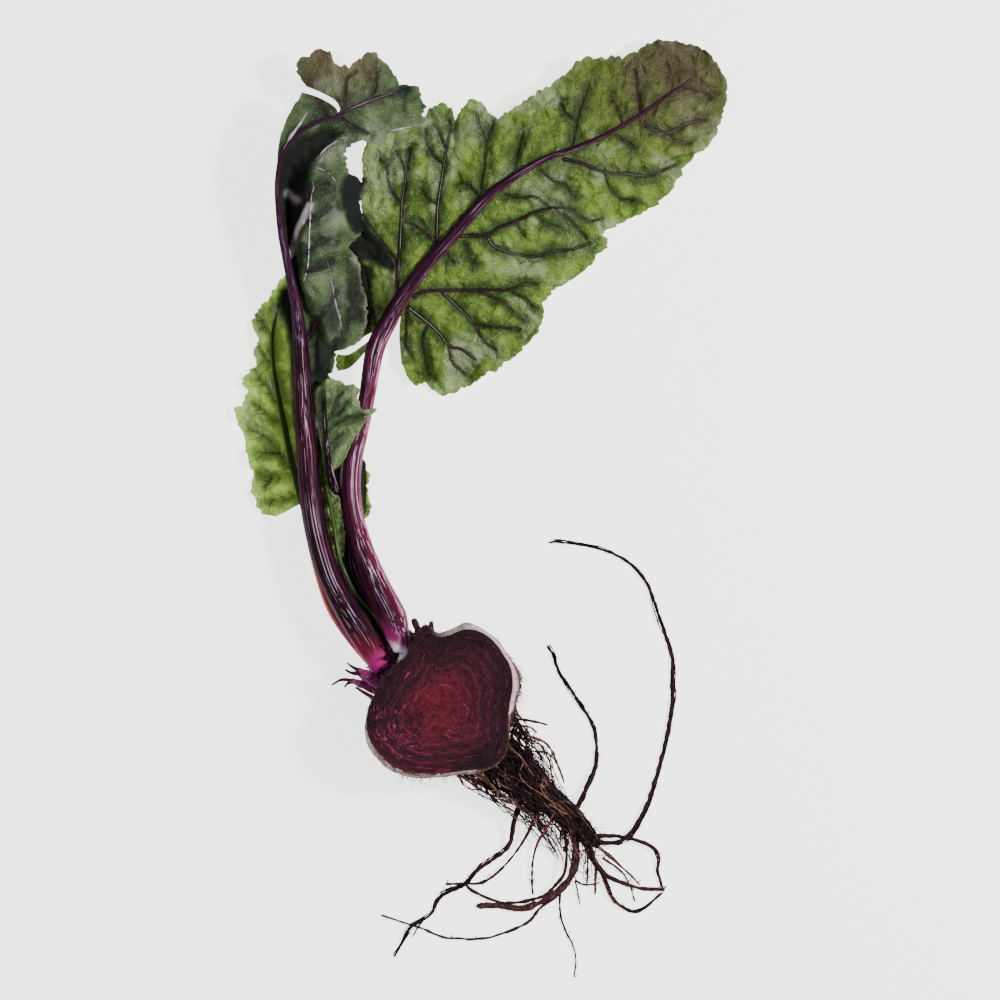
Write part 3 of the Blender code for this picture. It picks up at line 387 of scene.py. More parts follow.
def stalkMaterial(name, look):
    stalk = Shader(name)
    ridge = stalk.field("ridge")
    along = stalk.field("along")
    flank = stalk.field("flank")
    streaked = stalk.place((1, 1, 0.03), "grain")
    streak = stalk.noise(streaked, 0.7, 3, 0.6)
    broad = stalk.noise(streaked, 2.4, 2, 0.5)
    thin = stalk.noise(stalk.place((1, 1, 0.006), "grain"), 0.31, 2, 0.5)
    speck = stalk.noise(stalk.place((1, 1, 0.3), "grain"), 0.3, 3, 0.7)
    drift = stalk.noise(stalk.place((1, 1, 1), "grain"), 11, 2, 0.5)
    # lighter on the ridges, darker between them: painted light and shade over the stalk's own broad streaks
    colour = stalk.mix(stalk.fade(broad + ridge * 0.5, 0.38, 0.66), look["dark"], look["mid"])
    # painted light and shade by side: each flank is mixed towards its own tone, near black on the shaded
    # flank of the long stalk
    colour = stalk.mix(stalk.fade(flank + broad, 0.75, 1.25) * look["rightShare"], colour, look["right"])
    colour = stalk.mix(stalk.fade(broad - flank, 0.8, 1.35) * look["leftShare"], colour, look["left"])
    colour = stalk.mix(stalk.fade(streak, 0.52, 0.66) * 0.55, colour, look["bright"])
    colour = stalk.mix((1 - stalk.fade(thin, 0.36, 0.48)) * 0.6, colour, look["dark"])
    # painted highlights: pale lines and dots along the stalk, strongest on its lit flank
    aside = stalk.maths("ABSOLUTE", flank - look["litAt"])
    lit = 1 - stalk.fade(aside, look["litWide"] * 0.3, look["litWide"])
    dots = stalk.fade(speck + thin * 0.5, 0.68, 0.86)
    lines = stalk.fade(thin + ridge * 0.1 + drift * 0.12, 0.6, 0.68)
    colour = stalk.mix(lines * (0.6 + dots * 0.4) * lit * look["lines"], colour, look["pale"])
    neck = 1 - stalk.fade(along + streak * 16 + flank * 5, look["neck"], look["neck"] + 14)
    colour = stalk.mix(neck * 0.85, colour, look["neckTone"])
    foot = 1 - stalk.fade(along + streak * 6 + flank * look["footLean"], look["foot"], look["foot"] + 5)
    colour = stalk.mix(foot, colour, look["footTone"])
    blade = stalk.fade(along + broad * 10, look["bladeFrom"], look["bladeFrom"] + 14)
    colour = stalk.mix(blade * look["bladeShare"], colour, look["bladeTone"])
    height = streak * 0.5 + thin * 0.3 + speck * 0.3
    return stalk.finish(colour, 0.42 + speck * 0.2, height, 0.6, look["gloss"])


def veinMaterial(name, look):
    vein = Shader(name)
    grit = vein.noise(vein.place(), 1.4, 3)
    colour = vein.mix(vein.fade(grit, 0.4, 0.62), look["veinDark"], look["vein"])
    colour = vein.mix(1 - vein.fade(vein.field("rank"), 0.1, 0.45), colour, look["fineVein"])
    # painted highlight: the thin creases are drawn pale
    pale = vein.field("pale") * (0.5 + vein.fade(grit, 0.3, 0.6) * 0.5)
    colour = vein.mix(pale, colour, look["fold"])
    return vein.finish(colour, 0.34, grit, 0.1, 0.6)


bladeForm = {                                   # what all blades share, sizes in millimetres
    "rootAside": 0.4, "rootBelow": 0.3, "waveTurns": 2.3, "tooth": 3.2, "fineTooth": 1.5,
    "curlSize": 12, "tearFrom": 3, "swellReach": 2.6, "swellSize": 14, "creaseSize": 6.5,
    "fineCrease": 3, "foldRise": 0.9, "hollowSink": 1.2, "lowest": 0.3,
    "above": 80,                                # higher than any blade
}
veinForm = {                                    # side veins, then the fine ones leaving them
    "spacing": 0.7, "taper": 0.3, "lift": 0.4, "foldLift": 0.1, "step": 1.1, "clear": 0.5,
    "fineFirst": 0.2, "fineLast": 0.07, "fineRank": 0.1, "fineLift": 0.12,
}
stalkForm = {                                   # ridges round a stalk: how many, turn, share
    "ridges": [(7, 0.6, 0.5), (11, 2.1, 0.3), (19, 0, 0.2)], "twist": 0.25, "twistLength": 37,
    "grooveWidth": 0.42, "fadeLength": 14, "unevenness": 0.05,
}


def bladeHalf(leaf, side):                      # points over one half of a blade, and its fields
    stalk = leaf["stalk"]
    spread = np.linspace(0, 1, leaf["columns"]) ** 0.9
    lines = []
    for place, *others in leaf["left"] if side < 0 else leaf["right"]:
        ahead = curveAt(stalk, place + 0.1)[0] - curveAt(stalk, place - 0.1)[0]
        radius = np.interp(place, range(len(stalk)), leaf["radii"])
        aside = unit(np.cross(ahead, upward)) * side * radius * bladeForm["rootAside"]
        root = curveAt(stalk, place)[0] + aside - upward * radius * bladeForm["rootBelow"]
        lines.append(curveAt([root] + others, spread * len(others)))
    lines.append(curveAt(stalk[-1:] + leaf["tip"], spread * len(leaf["tip"])))
    steps = np.linspace(0, len(lines) - 1, (len(lines) - 1) * leaf["rows"] + 1)
    grid = curveAt(np.array(lines), steps)
    rim = np.tile(spread, (len(steps), 1))
    grid[..., 2] += leaf["wave"] * np.sin(bladeForm["waveTurns"] * steps + side)[:, None] * rim ** 3
    edge = grid[:, -1]
    out = unit(edge - grid[:, -3])
    between = np.sin(math.pi * (steps % 1)) - 0.4
    teeth = 0.7 * ripple(edge, bladeForm["tooth"], 4)
    push = leaf["scallop"] * (between + teeth + 0.35 * ripple(edge, bladeForm["fineTooth"], 5))
    grid += (push[:, None] * out)[:, None] * (rim ** 9)[..., None]
    grid[..., 2] += leaf["curl"] * ripple(grid, bladeForm["curlSize"], 6) * rim ** 4
    dropped = np.zeros((len(steps) - 1, len(spread) - 1), bool)
    for gap in leaf["tears"] if side < 0 else []:
        dropped[gap * leaf["rows"]:(gap + 1) * leaf["rows"], bladeForm["tearFrom"]:] = True
    return grid, rim, dropped


def veinTree(leaf):                             # finds the nearest vein, seen from above
    spots = []
    for line in [[p[:2] for p in leaf["stalk"]]] + [line for _, line in leaf["veins"]]:
        spots += evenCurve(line, 0.6).tolist()
    tree = KDTree(len(spots))
    for i, (x, y) in enumerate(spots):
        tree.insert((x, y, 0), i)
    tree.balance()
    return tree


def layOn(tree, line, lift):                    # a line seen from above, laid on the blade
    path = []
    for x, y in evenCurve(line, veinForm["spacing"]):
        spot = tree.ray_cast(Vector((x, y, bladeForm["above"])), Vector((0, 0, -1)))[0]
        if spot is None:
            break
        path.append(spot)
    if len(path) < 4:
        return None
    path = np.array(path)
    for _ in range(2):
        path[1:-1, 2] = (path[:-2, 2] + path[1:-1, 2] * 2 + path[2:, 2]) / 4
    path[:, 2] += lift
    return path


def addVein(shape, tree, line, first, last, rank, lift):
    path = layOn(tree, line, lift)
    if path is not None:
        radii = first + (last - first) * np.linspace(0, 1, len(path)) ** 0.8
        shape.addTube(tubeGrid(path, radii, 6 if rank > 0.5 else 4), rank=rank, pale=0)


# the crease is painted pale as a highlight along the fold
def addFold(shape, tree, line, width, strength):    # a thin bright crease, fading out at both ends
    path = layOn(tree, line, veinForm["foldLift"])
    if path is not None:
        swell = np.sin(np.linspace(0, 1, len(path)) * math.pi)
        radii = 0.5 * width * (swell ** 0.7 + 0.06) * (0.75 + 0.35 * ripple(path, 3, 12))
        pale = strength * (0.4 + 0.6 * swell)[:, None]
        shape.addTube(tubeGrid(path, radii, 8), rank=1, pale=pale)


def addFineVeins(shape, leaf, tree, near, dice):    # short cross veins from the side veins
    midrib = [p[:2] for p in leaf["stalk"][leaf["first"]:]]
    for line in [line for _, line in leaf["veins"]] + [midrib]:
        path = evenCurve(line, leaf["fineGap"])
        ahead = unit(np.gradient(path, axis=0))
        for k in range(1, len(path) - 1):
            for side in (-1, 1):
                way = turned(ahead[k], side * dice.uniform(0.7, 1.15))
                spot = path[k] + ahead[k] * dice.uniform(-1, 1)
                trail = [spot]
                for step in range(leaf["fineReach"]):
                    way = turned(way, dice.uniform(-0.3, 0.3) - side * 0.06)
                    spot = spot + way * veinForm["step"]
                    if step > 1 and near.find((spot[0], spot[1], 0))[2] < veinForm["clear"]:
                        break
                    trail.append(spot)
                if len(trail) > 3:
                    addVein(shape, tree, trail, veinForm["fineFirst"], veinForm["fineLast"],
                            veinForm["fineRank"], veinForm["fineLift"])


def addBlade(leaf, near):
    name = leaf["name"] + "_blade"
    look = leaf["look"]
    sheet = Shape()
    for side in (-1, 1):
        grid, rim, dropped = bladeHalf(leaf, side)
        vein = [near.find((x, y, 0))[2] for x, y in grid[..., :2].reshape(-1, 2)]
        vein = np.array(vein).reshape(rim.shape)
        rise = 1 - np.exp(-(vein / bladeForm["swellReach"]) ** 2)
        swell = leaf["pucker"] * rise * (0.75 + 0.45 * ripple(grid, bladeForm["swellSize"], 9))
        creases = ripple(grid, bladeForm["creaseSize"], 10)
        crinkle = leaf["crinkle"] * (creases + 0.5 * ripple(grid, bladeForm["fineCrease"], 11))
        grid[..., 2] += (swell - leaf["pucker"] * 0.5 + crinkle * rise) * np.clip(rim * 9, 0, 1)
        hollow = np.zeros(rim.shape)
        fold = np.zeros(rim.shape)
        # shaded hollows: areas painted near black as shade and sunk a little
        for depth, soft, area in leaf["hollows"]:
            hollow = np.maximum(hollow, depth * areaShare(grid, area, soft))
        # highlight bands: wide ones are raised a little and painted pale as highlight on the blade, thin ones
        # are drawn as creases with the veins
        for strength, width, line in leaf["folds"]:
            if width > leaf["thinFold"]:
                fold = np.maximum(fold, strength * bandShare(grid, line, width))
        raised = grid[..., 2] + bladeForm["foldRise"] * fold - bladeForm["hollowSink"] * hollow * rise
        grid[..., 2] = np.clip(raised, bladeForm["lowest"], highest)
        away = np.linalg.norm(grid[..., :2] - np.array(look["bronzeFrom"]), axis=-1)
        bronze = look["bronzeShare"] * np.clip(1 - away / look["bronzeReach"], 0, 1)
        sheet.add(grid, dropped=dropped, vein=vein, rim=rim, bronze=bronze, hollow=hollow, fold=fold)
    sheet.toObject(name + "_sheet", leafMaterial(name, look), name, leaf["thickness"])
    return sheet.tree()


def addVeins(leaf, near, tree):
    name = leaf["name"] + "_veins"
    veins = Shape()
    for radius, line in leaf["veins"]:
        lift = leaf["thickness"] * veinForm["lift"]
        addVein(veins, tree, line, radius, radius * veinForm["taper"], 1.0, lift)
    for strength, width, line in leaf["folds"]:
        if width <= leaf["thinFold"]:
            addFold(veins, tree, line, width, strength)
    addFineVeins(veins, leaf, tree, near, random.Random(leaf["name"]))
    veins.toObject(name, veinMaterial(name, leaf["look"]), leaf["name"] + "_blade")


def addStalk(leaf):
    name = leaf["name"] + "_stalk"
    points = [p[:3] for p in leaf["foot"]] + leaf["stalk"]
    radii = [p[3] for p in leaf["foot"]] + leaf["radii"]
    places, length = evenPlaces(points, leaf["stalkStep"])
    path = curveAt(points, places)
    reach = np.interp(places, range(len(radii)), radii)[:, None]
    along = np.linspace(0, length, len(path))[:, None]
    angle = np.arange(leaf["sides"]) / leaf["sides"] * turn
    slow = angle + stalkForm["twist"] * np.sin(along / stalkForm["twistLength"])
    ridge = sum(np.cos(count * slow + shift) * share for count, shift, share in stalkForm["ridges"])
    aside = (angle - leaf["groove"] + math.pi) % turn - math.pi
    groove = np.exp(-(aside / stalkForm["grooveWidth"]) ** 2)
    fade = np.clip(along / stalkForm["fadeLength"], 0.3, 1)
    form = fade * (leaf["ridges"] * ridge - leaf["grooveDepth"] * groove)
    grid = tubeGrid(path, reach[:, 0], leaf["sides"], form)
    grid += stalkForm["unevenness"] * ripple(grid, 4, 8)[..., None] * upward
    grain = np.dstack([np.cos(angle) * reach, np.sin(angle) * reach, np.broadcast_to(along, form.shape)])
    stalk = Shape()
    stalk.addTube(grid, grain=grain, ridge=ridge * 0.5 - groove * 0.6, along=along,
                  flank=np.cos(angle)[None, :])
    stalk.toObject(name + "_skin", stalkMaterial(name, leaf["stalkLook"]), name)


def addLeaf(leaf):
    print(leaf["name"])
    near = veinTree(leaf)
    addVeins(leaf, near, addBlade(leaf, near))
    addStalk(leaf)


plainLeaf = {                                   # what a leaf has unless it says otherwise
    "tears": [], "foot": [], "hollows": [], "folds": [], "thinFold": 1.4, "groove": 1.57,
}
plainLook = {
    "bronze": tone(90, 80, 50), "bronzeFrom": (0, 0), "bronzeReach": 1, "bronzeShare": 0.0,
    "hollow": tone(14, 18, 12),
}
purpleStalk = {
    "dark": tone(26, 8, 22), "mid": tone(84, 22, 54), "bright": tone(138, 48, 98),
    # right and left: flank tones that paint light and shade on the sides of the stalk
    "pale": tone(240, 208, 238), "right": tone(112, 22, 56), "rightShare": 0.7,
    "left": tone(26, 10, 20), "leftShare": 0.8,
    # litAt, litWide and lines place the painted highlight lines on the lit flank
    "litAt": 0.2, "litWide": 0.9, "lines": 0.7, "gloss": 0.12,
    "neck": 10, "neckTone": tone(132, 26, 92), "foot": 2, "footTone": tone(170, 60, 132), "footLean": 0,
    "bladeFrom": 400, "bladeTone": tone(64, 18, 50), "bladeShare": 1.0,
}
largeLeaf = {
    **plainLeaf, "name": "large_leaf", "tears": [1], "first": 9,
    "stalk": [
        (-16.8, 19, 22), (-20.8, 33, 20.5), (-27.2, 46, 18), (-32.4, 59, 16), (-35.8, 71.6, 14.6),
        (-37.5, 84, 13.4), (-36.8, 96, 12.6), (-33.6, 109, 12.2), (-30.9, 122, 12.2), (-27.8, 140, 13),
        (-22, 152, 13), (-18, 159.2, 13), (-8, 172.8, 14), (4, 186, 15), (16, 199.6, 16), (28, 208.8, 17),
        (40, 215.6, 18), (52, 220, 18), (64, 225.2, 17), (76.8, 232.8, 15), (88, 240.8, 12), (98, 248, 8),
    ],
    "radii": [
        3.2, 5.9, 5.4, 4.7, 4.1, 4.0, 4.0, 3.4, 3.2, 3.7, 3.4, 3.0, 2.6, 2.3, 1.9, 1.5, 1.25, 1.0, 0.85,
        0.65, 0.5, 0.3,
    ],
    # ribs: place on the midrib, points between, point on the margin
    "left": [
        (9.2, (-37.2, 133.4, 5), (-42.8, 131.6, 4)), (9.4, (-37.2, 138.6, 5), (-43.4, 138, 5.5)),
        (9.6, (-34.8, 144.4, 4.8), (-41.2, 143.4, 5)), (9.8, (-32.6, 154, 5), (-40, 154, 5)),
        (10.0, (-31, 164, 5.5), (-40, 168, 5)), (10.25, (-28.8, 171.2, 6), (-40, 180, 5.5)),
        (10.6, (-24.8, 176.8, 7), (-37.6, 188, 6)), (10.9, (-21.4, 179.4, 8.5), (-33.6, 195.2, 9)),
        (11.1, (-19.6, 186, 8.5), (-33.2, 202.4, 8)), (11.3, (-18, 192, 9), (-32.8, 210, 7.5)),
        (11.5, (-17, 198, 9.5), (-32, 221.4, 6)), (11.8, (-14.6, 202, 10), (-25, 227, 6.5)),
        (12.0, (-12, 204, 10.5), (-16.4, 231, 7)), (12.3, (-7.6, 204.8, 11), (-8.6, 233.2, 6.5)),
        (12.5, (-2.8, 204.8, 11.5), (-3.2, 237.6, 8)), (12.75, (0.8, 206.4, 12), (2, 236.4, 9)),
        (13.0, (4.4, 208.8, 12.5), (4.2, 231.6, 10)), (13.4, (9.2, 212.8, 13), (8, 237.2, 11)),
        (13.8, (14.8, 216.8, 14), (13.2, 239.2, 12)), (14.1, (18.4, 216.8, 14.5), (17.2, 234.8, 13.5)),
        (14.5, (22, 218, 15), (21.4, 231.8, 13)), (14.9, (27.6, 221.2, 14), (25.2, 234.6, 10)),
        (15.3, (33.2, 224.8, 14.5), (30, 237.6, 10)), (15.7, (38.4, 228, 15), (36, 241.6, 11)),
        (16.1, (43.2, 231.2, 15.5), (42, 245.2, 12)), (16.5, (47.2, 234, 15.5), (48.4, 250, 11)),
        (16.8, (51.6, 236.8, 15.5), (54.4, 255.4, 12)), (17.4, (58.8, 239.2, 15), (62, 256.4, 10)),
        (18.0, (66.4, 242, 14.5), (70.8, 256.4, 11)), (18.6, (72.8, 245.2, 13.5), (76.8, 259.2, 9)),
        (19.1, (78.8, 248, 12), (82, 262.4, 9.5)), (19.7, (84.8, 251.2, 10), (88.4, 263.2, 7)),
        (20.3, (91.2, 253.6, 7), (95.2, 262.6, 4)),
    ],
    "right": [
        (11.0, (-18.2, 146, 7), (-17.4, 135, 5)), (11.02, (-15.4, 144, 6.5), (-13, 126.8, 3)),
        (11.05, (-12.6, 143.2, 6.5), (-8, 127, 2.5)), (11.1, (-8.4, 142, 6), (-2, 122.2, -0.4)),
        (11.15, (-5.2, 142.8, 7), (6, 124, 2)), (11.2, (-2, 146, 7.5), (14, 128.6, 3.5)),
        (11.3, (2, 146.4, 8), (18, 131.2, 5.5)), (11.4, (4.6, 150, 8.5), (24.8, 135.2, 4.5)),
        (11.5, (7, 154, 9), (34.4, 144, 6.5)), (11.65, (10, 158, 9.5), (38.8, 151.6, 5)),
        (11.8, (11.6, 163.2, 9.5), (39.6, 158.8, 7)), (12.1, (16.8, 168, 10), (42.8, 163.4, 4)),
        (12.5, (22, 174.4, 10.5), (54.8, 171, 3)), (12.85, (26, 180, 11), (61.2, 178.2, 2)),
        (13.1, (30.8, 185.6, 11.5), (65.4, 182.8, -0.4)), (13.5, (36.8, 191.4, 13), (63.6, 186.8, 6)),
        (13.9, (42, 196.6, 13.5), (74, 192.4, 7)), (14.3, (45.6, 200.4, 14), (80.8, 196, 5)),
        (14.8, (50, 203.6, 14.5), (86.8, 200, 7)), (15.4, (56, 206.8, 15), (91.6, 206, 5)),
        (16.0, (63.2, 209.6, 15), (95.6, 212.6, 7)), (16.6, (70.8, 212.8, 14.5), (100.4, 218.2, 4.5)),
        (17.4, (77.2, 217.2, 14), (105.8, 222, 5)), (18.2, (84, 222, 13), (109.6, 229.6, 3)),
        (19.0, (90.8, 228, 11.5), (112, 236.8, 4)), (19.8, (98.4, 234, 9), (112.8, 243.6, 2.5)),
        (20.4, (102.6, 240.4, 7), (111.2, 250.6, 1)), (20.8, (103.4, 247.4, 5.5), (107, 256.6, 0.8)),
    ],
    "tip": [(100, 254.4, 4), (102, 261, -0.4)],
    # side veins seen from above: radius where the vein starts, then its points
    "veins": [
        (0.75, [(-14.8, 156.8), (-6, 150), (-2, 146), (2, 141.2), (6.8, 140), (12, 136)]),
        (0.4, [(-6.8, 150), (-9.2, 144.8), (-8.8, 139.2), (-6.8, 130)]),
        (0.4, [(1.6, 140.8), (2.8, 135.2), (8, 130)]),
        (0.4, [(-15.2, 156), (-15.6, 148), (-16, 142), (-13.2, 137.2)]),
        (0.8, [(-12.8, 161.2), (-8, 163.2), (-2, 163.6), (14, 163.6), (26, 164), (30.8, 166), (36.8, 166)]),
        (0.6, [(-1.2, 162.8), (4, 158), (9.2, 152.8), (12, 150), (18, 149.2), (30, 148)]),
        (0.35, [(12, 149.6), (14.8, 144), (20, 140)]),
        (0.4, [(14, 162.8), (22, 159.2), (28, 154), (31.2, 151.2)]),
        (0.35, [(26.8, 163.2), (32, 160), (36, 154.8)]),
        (0.85, [(6, 185.2), (10, 185.2), (16.8, 185.6), (22, 188.8), (28, 190.8), (34, 194),
            (40, 196), (46, 196.4), (50, 195.6), (54, 192.8), (58, 191.2), (62, 192)]),
        (0.6, [(16.8, 184.6), (20, 180.8), (28, 178), (36, 177.2), (42, 179.2), (50, 180), (58, 182.8)]),
        (0.4, [(44, 196), (50, 191.2), (56, 184.8)]), (0.35, [(36, 193.8), (40, 190), (44.8, 188.8)]),
        (0.3, [(28, 190.4), (32, 184.8)]), (0.35, [(7.6, 183.2), (9.2, 178), (11.2, 174)]),
        (0.3, [(0, 179.2), (3.2, 174.8)]), (0.4, [(24, 201.6), (30, 200.4), (35.2, 200.8), (40, 197.6)]),
        (0.4, [(38, 211.2), (42.8, 207.2), (48, 204.8), (52, 200)]),
        (0.65, [(47.2, 215.6), (54, 214), (64, 210.4), (72, 210), (80, 209.2), (86, 211.2), (92, 214)]),
        (0.4, [(63.6, 210.2), (66, 204), (70, 200), (74.8, 199.2)]),
        (0.4, [(66.4, 226), (70.8, 223.2), (75.2, 220)]),
        (0.5, [(77.2, 232.4), (80, 229.2), (84, 227.2), (88.8, 226.4), (94, 228.8), (100, 231.2),
            (104, 231.2)]),
        (0.3, [(89.2, 226.2), (92, 223.2), (98, 222)]),
        (0.5, [(-27.2, 148), (-28.8, 156), (-30.8, 164), (-32.4, 172.8)]),
        (0.75, [(-18.8, 163), (-18.8, 172), (-19.6, 176), (-24, 181.2), (-28, 186), (-33.2, 194)]),
        (0.65, [(-18.6, 171), (-18, 180), (-17.2, 198), (-16, 206), (-15.6, 212), (-14.4, 220)]),
        (0.35, [(-17.2, 198.4), (-20.8, 202), (-22.8, 206.8), (-23.2, 212), (-26, 216)]),
        (0.3, [(-15.6, 211.2), (-18, 216), (-20, 219.2)]),
        (0.75, [(-3.2, 180), (-3.2, 190), (-2.8, 198), (-1.6, 206), (-0.4, 214), (0.8, 222), (2, 228),
            (1.6, 231.2)]),
        (0.35, [(-2.8, 198), (-6.8, 200), (-9.2, 204)]),
        (0.35, [(-0.2, 213.6), (-4, 216.8), (-7.2, 222), (-8, 228)]), (0.3, [(0.4, 220), (-3.2, 228)]),
        (0.4, [(-4.8, 183), (-10, 188), (-16, 191.2)]),
        (0.65, [(14, 197.6), (14.4, 206), (15.6, 214), (16, 223.2), (13.6, 228.8), (12.4, 232.8)]),
        (0.3, [(16.2, 222.6), (19.2, 230.8)]), (0.3, [(14, 200.4), (10, 204.8), (6, 206.8)]),
        (0.5, [(27.6, 208.2), (28, 214), (29.2, 220), (31.2, 226)]),
        (0.55, [(49.6, 218.6), (51.2, 224), (52.4, 231.2), (54, 236.8), (56.4, 243.2)]),
        (0.3, [(52.2, 230.8), (48, 234), (46, 238)]), (0.35, [(70.4, 228.6), (68.8, 234.8), (66.4, 238.8)]),
        (0.45, [(78, 233.2), (77.2, 240), (76.4, 246), (75.6, 251.2)]),
        (0.35, [(90, 242), (90.4, 248), (88.4, 254)]), (0.3, [(94, 244.8), (101.6, 243.6), (106.4, 240.4)]),
    ],
    "columns": 42, "rows": 9, "pucker": 1.7, "crinkle": 0.42, "wave": 0.8, "scallop": 0.75, "curl": 1.1,
    "thickness": 0.4, "fineGap": 4.2, "fineReach": 9,
    "foot": [(-16.2, 15.8, 25, 2)],
    "stalkStep": 0.9, "sides": 54, "groove": 1.1, "grooveDepth": 0.12, "ridges": 0.06,
    # shaded hollows: how dark, how soft the edge, outline seen from above; painted shade
    "hollows": [
        (1.0, 2.5, [(-40, 208.8), (-31.6, 208), (-33.2, 202), (-34.4, 195), (-30.4, 188.4), (-26.6, 183.6),
                    (-20, 174), (-22, 171), (-28, 174.6), (-32.4, 175.2), (-38, 176), (-41, 190)]),
        (0.95, 3, [(-38, 178), (-33, 174.6), (-31.4, 170), (-30.6, 164), (-29.6, 152), (-32, 144), (-36, 142),
                   (-40, 160)]),
        (0.5, 6, [(-29, 166), (-22, 170), (-20, 160), (-27, 150)]),
    ],
    # highlight bands: how pale, how wide, line seen from above; painted highlights
    "folds": [
        (0.6, 1.3, [(-33.2, 197), (-30, 191), (-25.4, 186), (-21, 181)]),
        (0.3, 6, [(-6, 224), (-4, 229), (-3, 234)]),
        (0.3, 7, [(9, 224), (13, 231), (16, 235)]),
        (0.25, 8, [(24, 209), (34, 205), (46, 198)]),
        (0.3, 6, [(-26, 196), (-22, 208), (-19, 216)]),
    ],
    "slot": "leaf_green", "stalkSlot": "purple_stalk",
    "look": {
        **plainLook, "deep": tone(64, 90, 32), "fresh": tone(142, 172, 70), "gold": tone(178, 196, 70),
        "goldShare": 0.4,
        "pale": tone(226, 236, 208), "sheen": tone(184, 200, 152), "sheenShare": 0.8, "shade": tone(20, 30, 12),
        "edge": tone(110, 136, 62), "valleyShade": 0.7, "halo": 1.3, "gloss": 0.55, "pillow": 6.5,
        "relief": 2.0, "fold": tone(196, 206, 176),
        "bronze": tone(74, 57, 40), "bronzeFrom": (96, 264), "bronzeReach": 78, "bronzeShare": 1.0,
        "glow": tone(150, 190, 60), "through": 0.14,
        "vein": tone(62, 18, 46), "veinDark": tone(22, 7, 17), "fineVein": tone(30, 40, 18),
    },
    "stalkLook": {**purpleStalk, "foot": 8, "footTone": tone(255, 244, 252), "footLean": 3,
                  "neck": 13, "neckTone": tone(168, 42, 122), "litAt": 0.42, "litWide": 0.9, "lines": 0.85,
                  "right": tone(116, 24, 60), "mid": tone(84, 20, 54),
                  "bladeFrom": 138, "bladeTone": tone(40, 13, 34), "bladeShare": 0.7},
}
addLeaf(largeLeaf)

